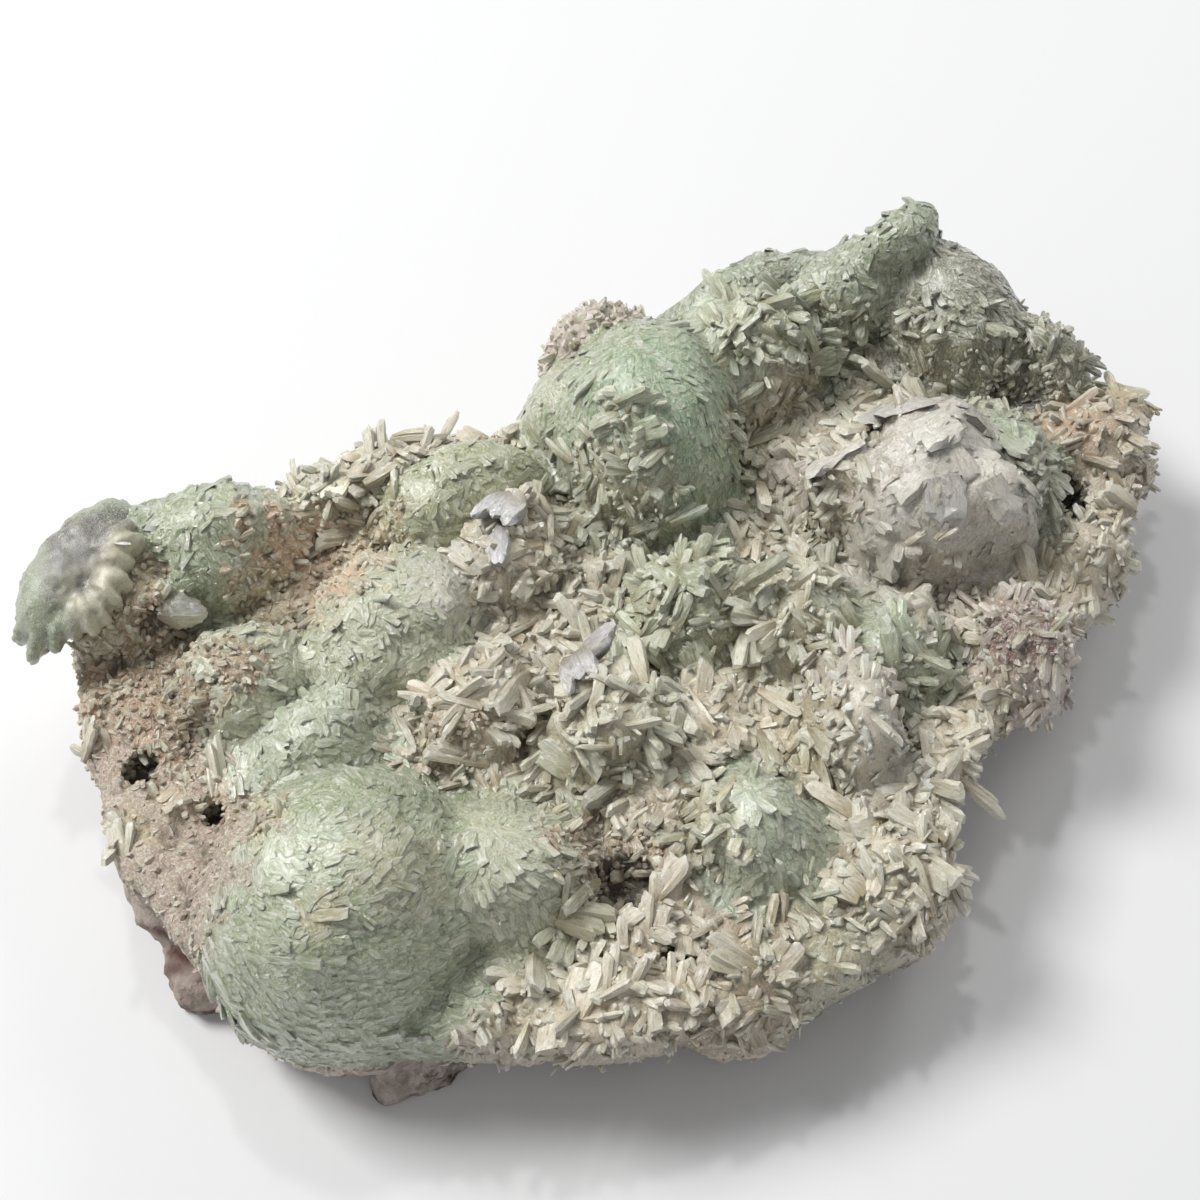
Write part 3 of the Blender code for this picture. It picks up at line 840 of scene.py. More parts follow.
def spaced(spots, gap):
    """Indices of the places that keep the gap to all those kept before them."""
    kept = []
    cells = {}
    for index, (x, y, z) in enumerate(spots):
        key = (int(x // gap), int(y // gap), int(z // gap))
        near = (cells.get((key[0] + i, key[1] + j, key[2] + k), ())
                for i in (-1, 0, 1) for j in (-1, 0, 1) for k in (-1, 0, 1))
        if all((x - u) ** 2 + (y - v) ** 2 + (z - w) ** 2 > gap * gap for cell in near for u, v, w in cell):
            cells.setdefault(key, []).append((x, y, z))
            kept.append(index)
    return np.array(kept, int)


def dome_normals(spots, dome):
    """The outward direction of the lump that each place is on."""
    rows = [row[:7] for row in LUMPS.values()]
    centre = np.array([r[:3] for r in rows])[dome]
    half = np.array([r[3:6] for r in rows])[dome]
    turn = np.radians([r[6] for r in rows])[dome]
    away = spots - centre
    along = (away[:, 0] * np.cos(turn) + away[:, 1] * np.sin(turn)) / half[:, 0] ** 2
    across = (away[:, 1] * np.cos(turn) - away[:, 0] * np.sin(turn)) / half[:, 1] ** 2
    up = away[:, 2] / half[:, 2] ** 2
    outward = np.c_[along * np.cos(turn) - across * np.sin(turn), along * np.sin(turn) + across * np.cos(turn), up]
    return unit(outward)


KNOB_POLE = (75, -9, 58)


def downhill(spots, dome, normal):
    """The direction along the surface away from the back of the dome's top."""
    rows = list(LUMPS.values())
    pole = np.array([(r[0], r[1] + 0.45 * r[4], r[2] + 1.2 * r[5]) for r in rows])
    pole[list(LUMPS).index("quartz_knob")] = KNOB_POLE
    pole = pole[dome]
    flow = spots - pole
    flow -= normal * (flow * normal).sum(1)[:, None]
    return unit(flow)


def turned(first, second, degrees):
    """Both vectors turned in their shared plane."""
    angle = np.radians(degrees)[:, None]
    return first * np.cos(angle) + second * np.sin(angle), second * np.cos(angle) - first * np.sin(angle)


def quaternions(x_axis, y_axis, z_axis):
    turns = []
    for columns in zip(x_axis, y_axis, z_axis):
        turns.append(tuple(Matrix([Vector(c) for c in columns]).transposed().to_quaternion()))
    return np.array(turns)


class Growth:
    """The crystals of one habit: where each stands, its axes, its size, form, tint and glassiness."""

    def __init__(self, habit, at, repeats, spots, across, along, sizes, forms, tints):
        self.habit = habit
        self.depth, self.soft = np.repeat(depth[at], repeats), np.repeat(facing[at], repeats, 0)
        self.spots, self.across, self.along, self.sizes = spots, across, along, sizes
        self.forms, self.tints = forms, tints


def tint_variety(tints, rng, amount=0.03, white=0.05):
    lightness = 1 + rng.normal(0, amount, (len(tints), 1))
    warmth = rng.normal(0, 0.02, (len(tints), 1)) * np.array([[1, 0.2, -1.2]])
    whitened = np.clip(rng.normal(white, white, (len(tints), 1)), 0, 0.6)
    varied = tints * (lightness + warmth)
    return np.clip(varied + (np.array(TINTS["cream"]) - varied) * whitened, 0.01, 0.95)


def lying(name, at, kinds, lift, scale, rng, order=12, sunk=0.9, uneven=5, variety=(0.03, 0.05)):
    """Crystals that lap over a dome like scales, along its sweep, their tips a little lifted."""
    count = len(at)
    sweep = np.array([row[9] for row in LUMPS.values()], float)[dome[at]]
    normal = unit(0.3 * dome_normals(spots[at], dome[at]) + 0.7 * facing[at])
    flow = downhill(spots[at], dome[at], normal)
    side = np.cross(normal, flow)
    flow, side = turned(flow, side, sweep + 24 * wave(spots[at], 14, 7) + rng.normal(0, order, count))
    flow, normal = turned(flow, normal, rng.normal(lift, uneven, count))
    normal, side = turned(normal, side, rng.normal(0, uneven, count))
    side = np.cross(normal, flow)
    size = scale * rng.uniform(0.65, 1.35, (count, 1)) * rng.uniform(0.88, 1.12, (count, 3))
    inset = -(sunk + rng.normal(0, 0.1, (count, 1))) * size[:, 1:2]
    forms = rng.integers(0, kinds, count)
    tints = tint_variety(tint[at], rng, *variety)
    return Growth(name, at, 1, spots[at] + normal * inset, side, flow, size, forms, tints)


def around(facing, azimuth, elevation):
    """Directions at an azimuth about the surface's normal and an elevation over the surface."""
    first = unit(np.cross(facing, np.array([[0.31, 0.05, 0.95]])))
    second = np.cross(facing, first)
    flat = first * np.cos(azimuth)[:, None] + second * np.sin(azimuth)[:, None]
    return flat * np.cos(elevation)[:, None] + facing * np.sin(elevation)[:, None]


def nests(name, at, kinds, per_foot, spread, elevation, scale, rng, wander=1.3, roll=math.pi, sunk=0.5):
    """Crystals that stand free: several from each foot, thrown about one way, at low and high angles."""
    count = len(at)
    upright = unit(0.45 * facing[at] + np.array([[0, 0, 0.55]]))
    way = 3.4 * wave(spots[at], 22, 31) + rng.normal(0, 0.8, count) + rng.choice([0, math.pi], count)
    step = np.tile(np.linspace(-0.5, 0.5, per_foot), count)
    feet, upright, tints, way = (np.repeat(part, per_foot, 0) for part in (spots[at], upright, tint[at], way))
    count = len(feet)
    azimuth = way + np.radians(spread) * (step + rng.normal(0, 0.15, count))
    direction = around(upright, azimuth, np.radians(rng.uniform(*elevation, count)))
    across = unit(np.cross(direction, upright))
    thick = np.cross(direction, across)
    across, thick = turned(across, thick, np.degrees(rng.uniform(-roll, roll, count)))
    shift = rng.normal(0, wander, (count, 3))
    shift -= upright * ((shift * upright).sum(1)[:, None] + sunk)
    size = scale * (0.55 + 0.9 * rng.random((count, 1)) ** 2.2) * rng.uniform(0.8, 1.2, (count, 3))
    steepness = 1 - np.repeat(facing[at][:, 2:], per_foot, 0)
    size *= np.clip(1.25 - 0.8 * steepness, 0.4, 1) * np.clip((feet[:, 2:] - 8) / 18, 0.35, 1)
    forms = rng.integers(0, kinds, count)
    tints = tint_variety(tints, rng, 0.13, 0.25)
    return Growth(name, at, per_foot, feet + shift, across, direction, size, forms, tints)


def grow_tree(name):
    """Nodes that put one mould on each point, as the point's own attributes say."""
    tree = bpy.data.node_groups.new(name, "GeometryNodeTree")
    tree.is_modifier = True
    tree.interface.new_socket("Feet", in_out="INPUT", socket_type="NodeSocketGeometry")
    tree.interface.new_socket("Moulds", in_out="INPUT", socket_type="NodeSocketCollection")
    tree.interface.new_socket("Crystal size", in_out="INPUT", socket_type="NodeSocketFloat")
    tree.interface.new_socket("Surface", in_out="INPUT", socket_type="NodeSocketMaterial")
    tree.interface.new_socket("Crystals", in_out="OUTPUT", socket_type="NodeSocketGeometry")
    made = {}
    for key, kind in (("in", "NodeGroupInput"), ("out", "NodeGroupOutput"),
                      ("moulds", "GeometryNodeCollectionInfo"), ("copy", "GeometryNodeInstanceOnPoints"),
                      ("solid", "GeometryNodeRealizeInstances"), ("dress", "GeometryNodeSetMaterial"),
                      ("grow", "ShaderNodeVectorMath")):
        made[key] = tree.nodes.new(kind)
    attributes = {}
    for key, kind in (("turn", "QUATERNION"), ("size", "FLOAT_VECTOR"), ("form", "INT")):
        attributes[key] = tree.nodes.new("GeometryNodeInputNamedAttribute")
        attributes[key].data_type = kind
        attributes[key].inputs["Name"].default_value = key
    made["moulds"].inputs["Separate Children"].default_value = True
    made["moulds"].inputs["Reset Children"].default_value = True
    made["copy"].inputs["Pick Instance"].default_value = True
    made["grow"].operation = "SCALE"
    link = tree.links.new
    link(made["in"].outputs["Feet"], made["copy"].inputs["Points"])
    link(made["in"].outputs["Moulds"], made["moulds"].inputs["Collection"])
    link(made["moulds"].outputs["Instances"], made["copy"].inputs["Instance"])
    link(attributes["form"].outputs["Attribute"], made["copy"].inputs["Instance Index"])
    link(attributes["turn"].outputs["Attribute"], made["copy"].inputs["Rotation"])
    link(attributes["size"].outputs["Attribute"], made["grow"].inputs["Vector"])
    link(made["in"].outputs["Crystal size"], made["grow"].inputs["Scale"])
    link(made["grow"].outputs["Vector"], made["copy"].inputs["Scale"])
    link(made["copy"].outputs["Instances"], made["solid"].inputs["Geometry"])
    link(made["solid"].outputs["Geometry"], made["dress"].inputs["Geometry"])
    link(made["in"].outputs["Surface"], made["dress"].inputs["Material"])
    link(made["dress"].outputs["Geometry"], made["out"].inputs["Crystals"])
    return tree


growing = grow_tree("grow_crystals")


def grown(name, growth, moulds, crystal_size=1.0):
    """The crystals of a growth as one plain mesh object."""
    feet_mesh = bpy.data.meshes.new(name + "_feet")
    feet_mesh.from_pydata([tuple(p * MM) for p in growth.spots], [], [])
    glass = np.full(len(growth.spots), GLASSINESS[growth.habit])
    turns = quaternions(growth.across, np.cross(growth.along, growth.across), growth.along)
    for key, kind, field, values in (
        ("turn", "QUATERNION", "value", turns), ("size", "FLOAT_VECTOR", "vector", growth.sizes),
        ("form", "INT", "value", growth.forms), ("glass", "FLOAT", "value", glass),
        ("sunk_wide", "FLOAT", "value", growth.depth), ("soft", "FLOAT_VECTOR", "vector", growth.soft),
        ("across", "FLOAT_VECTOR", "vector", growth.across), ("along", "FLOAT_VECTOR", "vector", growth.along),
    ):
        layer = feet_mesh.attributes.new(key, kind, "POINT")
        flat = values.astype(np.int32 if kind == "INT" else np.float32).ravel()
        layer.data.foreach_set(field, flat)
    store_tint(feet_mesh, "tint", growth.tints)
    feet = new_object(name + "_feet", feet_mesh)
    shelf = bpy.data.collections.new(name + "_moulds")
    for mesh in moulds:
        shelf.objects.link(bpy.data.objects.new(mesh.name, mesh))
    modifier = feet.modifiers.new("Grow", "NODES")
    modifier.node_group = growing
    sockets = {item.name: item.identifier for item in growing.interface.items_tree if item.in_out == "INPUT"}
    modifier[sockets["Moulds"]] = shelf
    modifier[sockets["Crystal size"]] = crystal_size
    modifier[sockets["Surface"]] = prehnite
    crystals = modified(feet, name)
    for copy in list(shelf.objects):
        bpy.data.objects.remove(copy)
    bpy.data.collections.remove(shelf)
    for key in ("turn", "size", "form"):
        if key in crystals.data.attributes:
            crystals.data.attributes.remove(crystals.data.attributes[key])
    return crystals


def turned_along_crystals(tree):
    """The surface's place in millimetres, in axes that follow each crystal, for marks along its length."""
    place = tree.nodes.new("ShaderNodeTexCoord")
    in_mm = tree.nodes.new("ShaderNodeVectorMath")
    in_mm.operation = "SCALE"
    in_mm.inputs["Scale"].default_value = 1000
    tree.links.new(place.outputs["Object"], in_mm.inputs[0])
    across, along = (attribute(tree, name).outputs["Vector"] for name in ("across", "along"))
    through = vector_math(tree, "CROSS_PRODUCT", along, across).outputs["Vector"]
    combined = tree.nodes.new("ShaderNodeCombineXYZ")
    for axis, socket in zip((across, through, along), combined.inputs):
        tree.links.new(vector_math(tree, "DOT_PRODUCT", in_mm.outputs["Vector"], axis).outputs["Value"], socket)
    return in_mm.outputs["Vector"], combined.outputs["Vector"]


def vector_math(tree, how, first, second):
    node = tree.nodes.new("ShaderNodeVectorMath")
    node.operation = how
    for socket, value in zip(node.inputs, (first, second)):
        if isinstance(value, tuple):
            socket.default_value = value
        else:
            tree.links.new(value, socket)
    return node


def streaks(tree, place, squeeze):
    """Noise drawn out along the crystals; squeeze is its fineness across, through and along them."""
    scaled = vector_math(tree, "MULTIPLY", place, squeeze).outputs["Vector"]
    noise = tree.nodes.new("ShaderNodeTexNoise")
    noise.inputs["Scale"].default_value = 1.0
    noise.inputs["Detail"].default_value = 4
    noise.inputs["Roughness"].default_value = 0.6
    tree.links.new(scaled, noise.inputs["Vector"])
    return noise.outputs["Fac"]


def prehnite_material():
    """Glassy and waxy at once. Light sinks in, which evens the shading of the single faces, so the body
    of a crystal takes most of its normal from the ground under it; its gloss keeps the true faces."""
    material, tree, surface = new_material("prehnite")
    tint = attribute(tree, "tint").outputs["Color"]
    tip = attribute(tree, "tip").outputs["Fac"]
    glass = attribute(tree, "glass").outputs["Fac"]
    near = attribute(tree, "sunk").outputs["Fac"]
    wide = attribute(tree, "sunk_wide").outputs["Fac"]
    _, own_place = turned_along_crystals(tree)
    clouds = speckle(tree, 2.4, 4, 0.65)
    fine = speckle(tree, 0.36, 3, 0.75)
    veins = streaks(tree, own_place, (2.4, 2.4, 0.4))
    clouded = blend(tree, spread(tree, clouds, 0.45, 0.65, 0, 0.5), tint, blend(tree, 0.5, tint, TINTS["cream"]))
    veined = blend(tree, spread(tree, veins, 0.5, 0.64, 0, 0.6), clouded, TINTS["white"])
    seams = blend(tree, 1.0, veined, TINTS["seam"], "MULTIPLY")
    veined = blend(tree, spread(tree, veins, 0.45, 0.34, 0, 0.5), veined, seams)
    frosted = blend(tree, spread(tree, tip, 0.7, 1.0, 0, 0.4), veined, TINTS["white"])
    # Towards each crystal's root the colour is multiplied by the root tint: partly its own browner root, partly
    # painted shade where it meets the ground.
    root_shaded = blend(tree, spread(tree, tip, 0.15, 0.55, 0.7, 0), frosted,
                   blend(tree, 1.0, frosted, TINTS["root"], "MULTIPLY"))
    # Painted shade: crevices, by the sunk depth and less on glassy places, and wider hollows, by sunk_wide, which
    # crystals take from the ground at their feet, are darkened towards the gap tint.
    gap = calculate(tree, "MULTIPLY", spread(tree, near, 0.1, 0.8, 0, 0.7), spread(tree, glass, 0.6, 1.0, 1, 0.1))
    crevice_shaded = blend(tree, gap, root_shaded, blend(tree, 1.0, root_shaded, TINTS["gap"], "MULTIPLY"))
    hollow_shaded = blend(tree, spread(tree, wide, 0.1, 0.9, 0, 0.6), crevice_shaded,
                 blend(tree, 1.0, crevice_shaded, TINTS["gap"], "MULTIPLY"))
    sugary = blend(tree, spread(tree, fine, 0.3, 0.7, 0.3, 0), hollow_shaded, blend(tree, 1.0, hollow_shaded, TINTS["gap"], "MULTIPLY"))
    dirt = calculate(tree, "MULTIPLY", spread(tree, clouds, 0.36, 0.3, 0, 0.6), spread(tree, fine, 0.45, 0.6, 0, 1))
    give(tree, surface.inputs["Base Color"], blend(tree, dirt, sugary, TINTS["brown"]))
    gloss = calculate(tree, "ADD", spread(tree, glass, 0, 1, 0.7, 0.36), spread(tree, fine, 0.3, 0.7, -0.1, 0.1))
    give(tree, surface.inputs["Roughness"], gloss)
    surface.inputs["IOR"].default_value = 1.63
    surface.inputs["Transmission Weight"].default_value = 0.05
    surface.inputs["Coat Roughness"].default_value = 0.06
    surface.inputs["Sheen Weight"].default_value = 0.2
    surface.inputs["Sheen Roughness"].default_value = 0.4
    surface.inputs["Coat IOR"].default_value = 1.85
    give(tree, surface.inputs["Coat Weight"], spread(tree, glass, 0.2, 0.8, 0.0, 1.0))
    bump = tree.nodes.new("ShaderNodeBump")
    bump.inputs["Strength"].default_value = 0.8
    bump.inputs["Distance"].default_value = 0.22 * MM
    tree.links.new(fine, bump.inputs["Height"])
    steps = tree.nodes.new("ShaderNodeTexVoronoi")
    steps.inputs["Scale"].default_value = 1.0
    stepped = vector_math(tree, "MULTIPLY", own_place, (1.7, 1.7, 1.1)).outputs["Vector"]
    tree.links.new(stepped, steps.inputs["Vector"])
    turn = vector_math(tree, "SUBTRACT", steps.outputs["Color"], (0.5, 0.5, 0.5)).outputs["Vector"]
    turn = vector_math(tree, "MULTIPLY", turn, (0.8, 0.8, 0.8)).outputs["Vector"]
    glinting = vector_math(tree, "ADD", bump.outputs["Normal"], turn).outputs["Vector"]
    glinting = vector_math(tree, "NORMALIZE", glinting, (0.0, 0.0, 0.0)).outputs["Vector"]
    tree.links.new(glinting, surface.inputs["Coat Normal"])
    in_world = tree.nodes.new("ShaderNodeVectorTransform")
    in_world.vector_type = "NORMAL"
    in_world.convert_from, in_world.convert_to = "OBJECT", "WORLD"
    tree.links.new(attribute(tree, "soft").outputs["Vector"], in_world.inputs["Vector"])
    evened = tree.nodes.new("ShaderNodeMix")
    evened.data_type = "VECTOR"
    give(tree, evened.inputs["Factor"], spread(tree, glass, 0.4, 1.0, 0.15, 0.72))
    tree.links.new(bump.outputs["Normal"], evened.inputs["A"])
    tree.links.new(in_world.outputs["Vector"], evened.inputs["B"])
    tree.links.new(evened.outputs["Result"], surface.inputs["Normal"])
    return material


def dress_ground(mesh):
    places = vertex_places(mesh)
    habit, tint, _ = growth_at(places)
    store_tint(mesh, "tint", tint)
    # The two depths mark crevices and hollows, which the prehnite material darkens as painted shade.
    store_depth(mesh, "sunk", 6, 0.5)
    store_depth(mesh, "sunk_wide", 40, 2.0)
    glass = np.array([GLASSINESS[name] for name in HABITS])[habit]
    # The ground between blades and fans counts as nearer the roots, so it is darkened more: partly its own colour,
    # partly painted shade.
    tip = np.where((habit == HABITS.index("blades")) | (habit == HABITS.index("fans")), 0.3, 0.5)
    count = len(places)
    for name, kind, field, values in (
        ("glass", "FLOAT", "value", glass), ("tip", "FLOAT", "value", tip),
        ("soft", "FLOAT_VECTOR", "vector", soft_normals(mesh)),
        ("across", "FLOAT_VECTOR", "vector", np.tile((1.0, 0, 0), (count, 1))),
        ("along", "FLOAT_VECTOR", "vector", np.tile((0, 0, 1.0), (count, 1))),
    ):
        mesh.attributes.new(name, kind, "POINT").data.foreach_set(field, values.astype(np.float32).ravel())


prehnite = prehnite_material()
dress_ground(crust_ground.data)
crust_ground.data.polygons.foreach_set("use_smooth", [True] * len(crust_ground.data.polygons))
crust_ground.data.materials.clear()
crust_ground.data.materials.append(prehnite)
spots, facing, depth = ground_samples(crust_ground.data, CANDIDATES, 11)
open_ground = (spots[:, 2] > GROWN_ABOVE) & (facing[:, 2] > -0.6)
spots, facing, depth = spots[open_ground], facing[open_ground], depth[open_ground]
habit, tint, dome = growth_at(spots)
crystals = []


def feet_of(name, gap=None):
    """Well spaced feet of the crystals of one habit."""
    index = np.flatnonzero(habit == HABITS.index(name))
    return index[spaced(spots[index], gap or SPACING[name])]


# Domes of tiles: the big sage dome at the lower left, the mint dome at the back, and the rest. The
# tablets are almost flush with the dome, and a few larger ones stand a little out of it.
rng = np.random.default_rng(21)
at = feet_of("tiles")
for name, mine in (("tiles_left", at[spots[at][:, 0] < -20]), ("tiles_right", at[spots[at][:, 0] >= -20])):
    crystals.append(grown(name, lying("tiles", mine, 6, 1, 0.95, rng, 20, 0.2, 6), tile_moulds()))
at = feet_of("tiles", 3.0)
at = at[(wave(spots[at], 14, 40) > -0.1) | (np.array(list(LUMPS))[dome[at]] == "big_dome_flank")]
crystals.append(grown("dome_lenses", lying("tiles", at, 4, 6, 0.9, rng, 22, 0.42, 7), lens_moulds()))

# Druse: small tablets every way, almost run together, on the sage masses of the upper left.
crystals.append(grown("druse", lying("druse", feet_of("druse"), 6, 2, 0.95, rng, 90, 0.18, 9), tile_moulds()))
crystals.append(grown("druse_lenses", lying("druse", feet_of("druse", 3.2), 4, 8, 0.75, rng, 90, 0.38, 9), lens_moulds()))

# Free blades: cream and white, thrown about in open nests across the middle and the front.
at = feet_of("blades")
for name, mine in (("blades_back", at[spots[at][:, 1] > -25]), ("blades_front", at[spots[at][:, 1] <= -25])):
    growth = nests("blades", mine, 6, 1, 100, (-8, 40), 0.88, rng, 1.2, math.pi, 0.8)
    crystals.append(grown(name, growth, blade_moulds()))
growth = nests("blades", feet_of("blades", 4.4), 5, 1, 120, (-5, 35), 0.9, rng, 1.2, math.pi, 0.5)
crystals.append(grown("leaves_among_blades", growth, leaf_moulds()))
growth = nests("blades", feet_of("blades", 2.0), 4, 1, 60, (0, 60), 0.85, rng, 0.6, math.pi, 0.1)
crystals.append(grown("young_blades", growth, young_moulds()))

# Leaf-like plates: fanned out from their feet on the right end, the right wall and the white fan.
growth = nests("fans", feet_of("fans"), 5, 1, 90, (-8, 35), 0.82, rng, 1.0, 1.8, 0.8)
crystals.append(grown("leaves", growth, leaf_moulds()))
growth = nests("fans", feet_of("fans", 2.3), 4, 1, 60, (0, 60), 0.8, rng, 0.6, math.pi, 0.1)
crystals.append(grown("young_leaves", growth, young_moulds()))

# The white knob: broad plates that lap flat over it, almost massive.
growth = lying("slabs", feet_of("slabs", 6.5), 5, -2, 1.15, rng, 30, 1.15, 4, (0.06, 0.15))
crystals.append(grown("knob_plates", growth, slab_moulds()))
growth = lying("slabs", feet_of("slabs", 2.0), 6, 0, 0.7, rng, 60, 0.15, 14, (0.06, 0.2))
crystals.append(grown("knob_scales", growth, tile_moulds()))

# Grains: peach and brown druse in the valleys, on the left slope and on the bare rock.
at = feet_of("grains")
crystals.append(grown("grains", lying("grains", at, 4, 40, 0.9, rng, 90, 0.0, 25, (0.16, 0.3)), grain_moulds()))
growth = nests("grains", feet_of("grains", 3.0), 4, 1, 90, (0, 50), 0.85, rng, 0.5, math.pi, 0.2)
growth.tints = tint_variety(growth.tints, rng, 0.05, 0.45)
crystals.append(grown("blades_among_grains", growth, young_moulds()))
crystals.append(grown("rock_grains", lying("bare", feet_of("bare"), 4, 15, 0.8, rng, 90, 0.3, 25, (0.16, 0.3)), grain_moulds()))

# Single large crystals: mould, x, y, z, azimuth, elevation, roll, size, tint.
WEDGE, TWIN_WEDGE, BARREL, SPINDLE = range(4)
LARGE_CRYSTALS = [
    (TWIN_WEDGE, -9, 21, 42, -150, 20, 10, 0.6, "lilac_white"),
    (WEDGE, -14, 17, 41, -110, 15, 40, 0.55, "lilac_white"),
    (TWIN_WEDGE, -13, -16, 41, -100, 25, 20, 0.55, "lilac_white"),
    (WEDGE, -10, -15, 40, 20, 20, -30, 0.5, "lilac_white"),
    (BARREL, -75.5, 29.5, 39, -27, 4, 0, 0.98, "cream"),
    (SPINDLE, -85, 30, 37, 105, 18, 0, 0.85, "pale_sage"),
    (SPINDLE, -81.5, 33, 36, 60, 65, 60, 0.6, "tan"),
    (SPINDLE, -82, 43, 49.6, -27, 0, 90, 0.42, "white_grey"),
    (SPINDLE, 22, -17, 45, 8, 12, 80, 1.3, "pale_sage"),
]


def by_hand(table, rng):
    """Large crystals, each at its own place."""
    places, across, along, sizes, forms, tints = [], [], [], [], [], []
    for form, x, y, z, azimuth, elevation, roll, size, tint_name in table:
        turn = Matrix.Rotation(math.radians(azimuth), 3, "Z") @ Matrix.Rotation(math.radians(90 - elevation), 3, "Y")
        turn = turn @ Matrix.Rotation(math.radians(90 + roll), 3, "Z")
        across.append(turn.col[0][:])
        along.append(turn.col[2][:])
        places.append((x, y, z))
        sizes.append((size, size, size))
        forms.append(form)
        tints.append(TINTS[tint_name])
    tints = tint_variety(np.array(tints), rng, 0.03, 0.02)
    places, across, along, sizes, forms = (np.array(part, float) for part in (places, across, along, sizes, forms))
    nearest = np.array([np.argmin(np.linalg.norm(spots - place, axis=1)) for place in places])
    return Growth("slabs", nearest, 1, places, across, along, sizes, forms, tints)


crystals.append(grown("large_crystals", by_hand(LARGE_CRYSTALS, rng), large_moulds()))


# The ear: a shelf at the upper left of rounded ribs that spread from its brown-grey back like petals.
# They are cream-yellow at their ends and green at its tip. It is one body with the crust.
EAR_BACK, EAR_BACK_HALF_SIZES, EAR_BACK_TURN = (-90, 46, 43), (16.5, 7.5, 6.5), 35
EAR_HUB = (-91, 42.5, 46)
RIB_ENDS = [
    (-77, 47.5, 46), (-76.8, 43.8, 46), (-79, 39.8, 45.5), (-81.8, 36, 44.5), (-85, 33.0, 43.5), (-88.5, 31, 42.5),
    (-92, 30, 41.5), (-96, 31, 40.5), (-100, 31.5, 39.5), (-104.6, 32.5, 38.5), (-105.5, 37.5, 39), (-103, 42, 40),
]
RIB_HALF_WIDTH, RIB_HALF_HEIGHT = 1.9, 4.2


def ear_of_ribs():
    rng = random.Random(5)
    bm = bmesh.new()
    size = Matrix.Diagonal((*(h * MM for h in EAR_BACK_HALF_SIZES), 1))
    place = Matrix.Translation(on_drawing(*EAR_BACK)) @ Matrix.Rotation(math.radians(EAR_BACK_TURN), 4, "Z")
    bmesh.ops.create_icosphere(bm, subdivisions=4, radius=1, matrix=place @ size)
    for end in RIB_ENDS:
        reach = (Vector(end) - Vector(EAR_HUB)) * rng.uniform(0.92, 1.06)
        half_length = 0.36 * reach.length
        centre = Vector(EAR_HUB) + reach * (1 - half_length / reach.length)
        half = (half_length, RIB_HALF_WIDTH * rng.uniform(0.8, 1.2), RIB_HALF_HEIGHT * rng.uniform(0.85, 1.05))
        turn = reach.to_track_quat("X", "Z").to_matrix().to_4x4()
        place = Matrix.Translation(centre * MM) @ turn @ Matrix.Diagonal((*(h * MM for h in half), 1))
        bmesh.ops.create_icosphere(bm, subdivisions=3, radius=1, matrix=place)
    mesh = bpy.data.meshes.new("ear")
    bm.to_mesh(mesh)
    bm.free()
    ear = new_object("ear_ribs", mesh)
    fuse = ear.modifiers.new("Fuse", "REMESH")
    fuse.mode = "VOXEL"
    fuse.voxel_size = 0.5 * MM
    soften = ear.modifiers.new("Soften", "SMOOTH")
    soften.iterations = 2
    roughen(ear, "rib_clouds", 3.2, 1.6)
    roughen(ear, "rib_grain", 0.9, 0.5)
    return modified(ear, "ear_ribs")


def dress_ear(mesh):
    dress_ground(mesh)
    places = vertex_places(mesh)
    from_hub = places - np.array(EAR_HUB)
    out = np.linalg.norm(from_hub[:, :2], axis=1)
    towards_front = from_hub @ np.array((0.6, -0.8, 0))
    paler = np.clip((towards_front + 2 * wave(places, 9, 401) - 1) / 6.0, 0, 1)[:, None]
    at_tip = np.clip((-from_hub[:, 0] + 2 * wave(places, 9, 402) - 1.5) / 5, 0, 1)[:, None]
    upper_end = np.clip((places[:, 1] + 2 * wave(places, 9, 403) - 50) / 4, 0, 1)[:, None]
    tints = np.array(TINTS["brown_sage"]) * (1 - paler) + np.array(TINTS["rib_cream"]) * paler
    green = np.maximum(at_tip, upper_end)
    tints = tints * (1 - green) + np.array(TINTS["grey_green"]) * green
    colours = np.c_[tints, np.ones(len(tints))].astype(np.float32)
    mesh.attributes["tint"].data.foreach_set("color", colours.ravel())
    for name, values in (("glass", np.full(len(places), 0.85)), ("tip", np.full(len(places), 0.65))):
        mesh.attributes[name].data.foreach_set("value", values.astype(np.float32))
    radial = (from_hub / np.maximum(out, 1e-6)[:, None]).astype(np.float32)
    mesh.attributes["along"].data.foreach_set("vector", radial.ravel())


ear_ribs = ear_of_ribs()
ear_ribs.data.polygons.foreach_set("use_smooth", [True] * len(ear_ribs.data.polygons))
dress_ear(ear_ribs.data)
ear_ribs.data.materials.append(prehnite)
crystals.append(ear_ribs)


for piece in (crust_ground, host_rock, *crystals):
    piece.data.transform(Matrix.Translation((-DRAWING_MIDDLE[0] * MM, -DRAWING_MIDDLE[1] * MM, 0)))
    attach(piece, "root")
    print(piece.name, sum(len(p.vertices) - 2 for p in piece.data.polygons))
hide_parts("prehnite_crust")
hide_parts("host_rock")


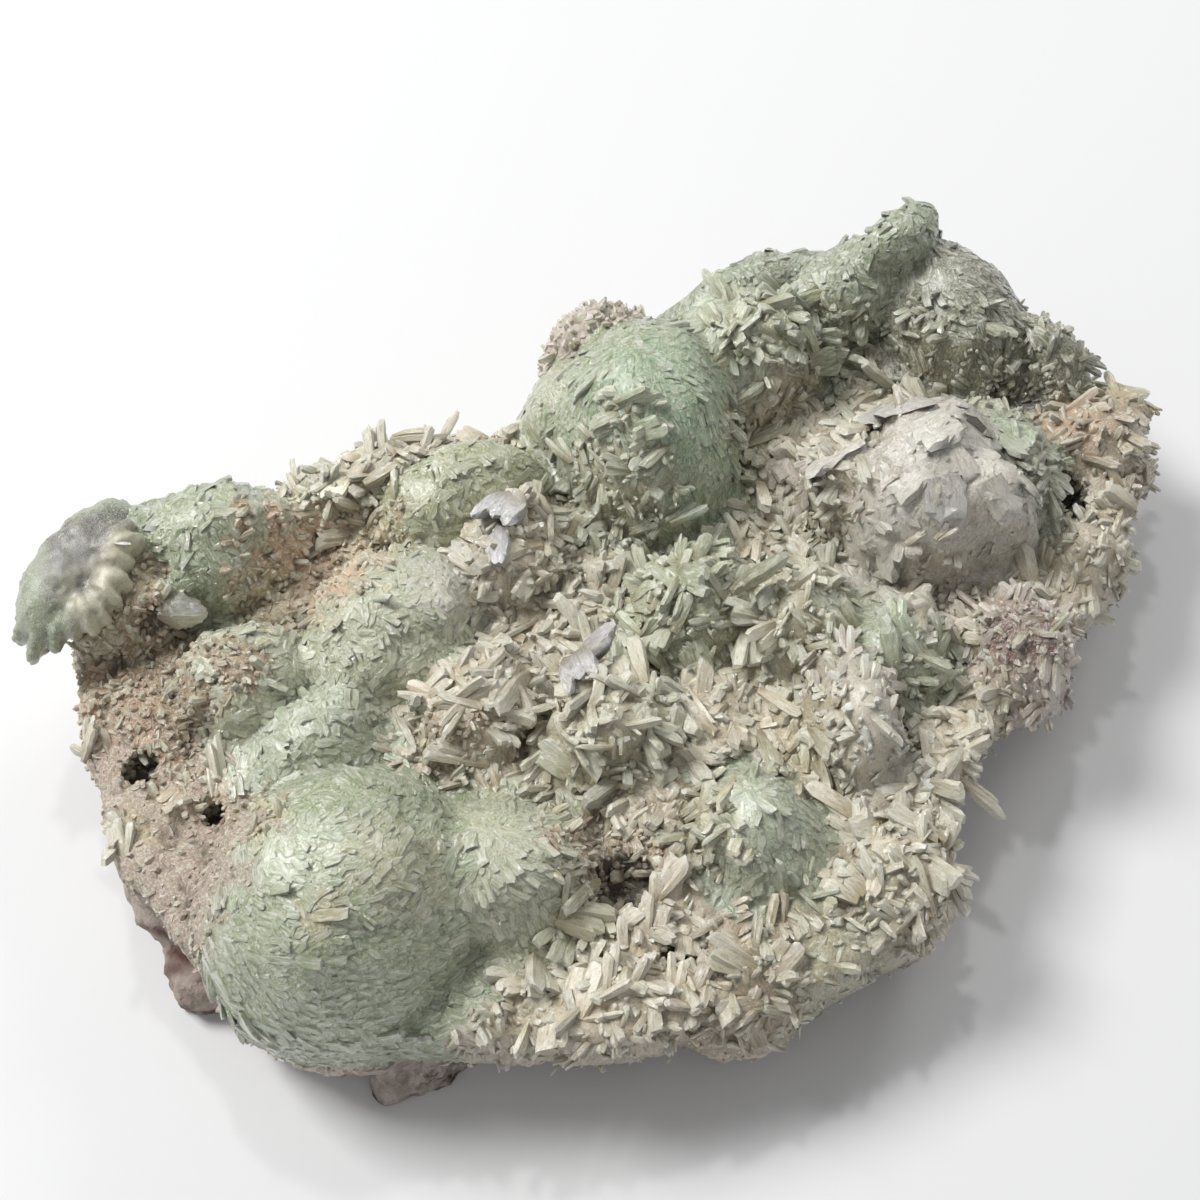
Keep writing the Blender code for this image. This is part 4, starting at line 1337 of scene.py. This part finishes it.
# The table top, the light of a bright room from the upper left, and the camera.
bpy.ops.mesh.primitive_plane_add(size=6, location=(0, 0, 0))
table_top = bpy.context.object
table_top.name = "table_top"
white, tree, surface = new_material("white_table")
surface.inputs["Base Color"].default_value = (0.78, 0.78, 0.78, 1)
surface.inputs["Roughness"].default_value = 0.6
table_top.data.materials.append(white)

VIEW_AZIMUTH, VIEW_ELEVATION, VIEW_DISTANCE = math.radians(-27), math.radians(60), 0.346
VIEW_TARGET = Vector((-DRAWING_MIDDLE[0], -DRAWING_MIDDLE[1], 30)) * MM
towards_viewer = Vector((
    math.sin(VIEW_AZIMUTH) * math.cos(VIEW_ELEVATION),
    -math.cos(VIEW_AZIMUTH) * math.cos(VIEW_ELEVATION),
    math.sin(VIEW_ELEVATION),
))
lens = bpy.data.cameras.new("photograph_view")
lens.lens = 52
lens.sensor_width = 36
lens.clip_start = 0.01
camera = bpy.data.objects.new("photograph_view", lens)
camera.location = VIEW_TARGET + towards_viewer * VIEW_DISTANCE
camera.rotation_euler = towards_viewer.to_track_quat("Z", "Y").to_euler()
bpy.context.scene.collection.objects.link(camera)
bpy.context.scene.camera = camera


def softbox(name, place, target, size, power):
    light = bpy.data.lights.new(name, "AREA")
    light.size = size
    light.energy = power
    lamp = bpy.data.objects.new(name, light)
    lamp.location = place
    lamp.rotation_euler = (Vector(place) - Vector(target)).to_track_quat("Z", "Y").to_euler()
    bpy.context.scene.collection.objects.link(lamp)


softbox("window", (-0.72, 0.90, 1.45), (0, 0, 0.02), 0.6, 28)
softbox("far_window", (0.95, 0.55, 0.95), (0, 0, 0.02), 0.4, 2.8)
softbox("lamp", (0.15, 0.55, 1.20), (0, 0, 0.02), 0.08, 2.2)
room = bpy.data.worlds.new("room")
room.use_nodes = True
room.node_tree.nodes["Background"].inputs["Color"].default_value = (0.97, 0.98, 1.0, 1)
room.node_tree.nodes["Background"].inputs["Strength"].default_value = 0.34
bpy.context.scene.world = room
bpy.context.scene.view_settings.view_transform = "Standard"
bpy.context.scene.view_settings.look = "None"
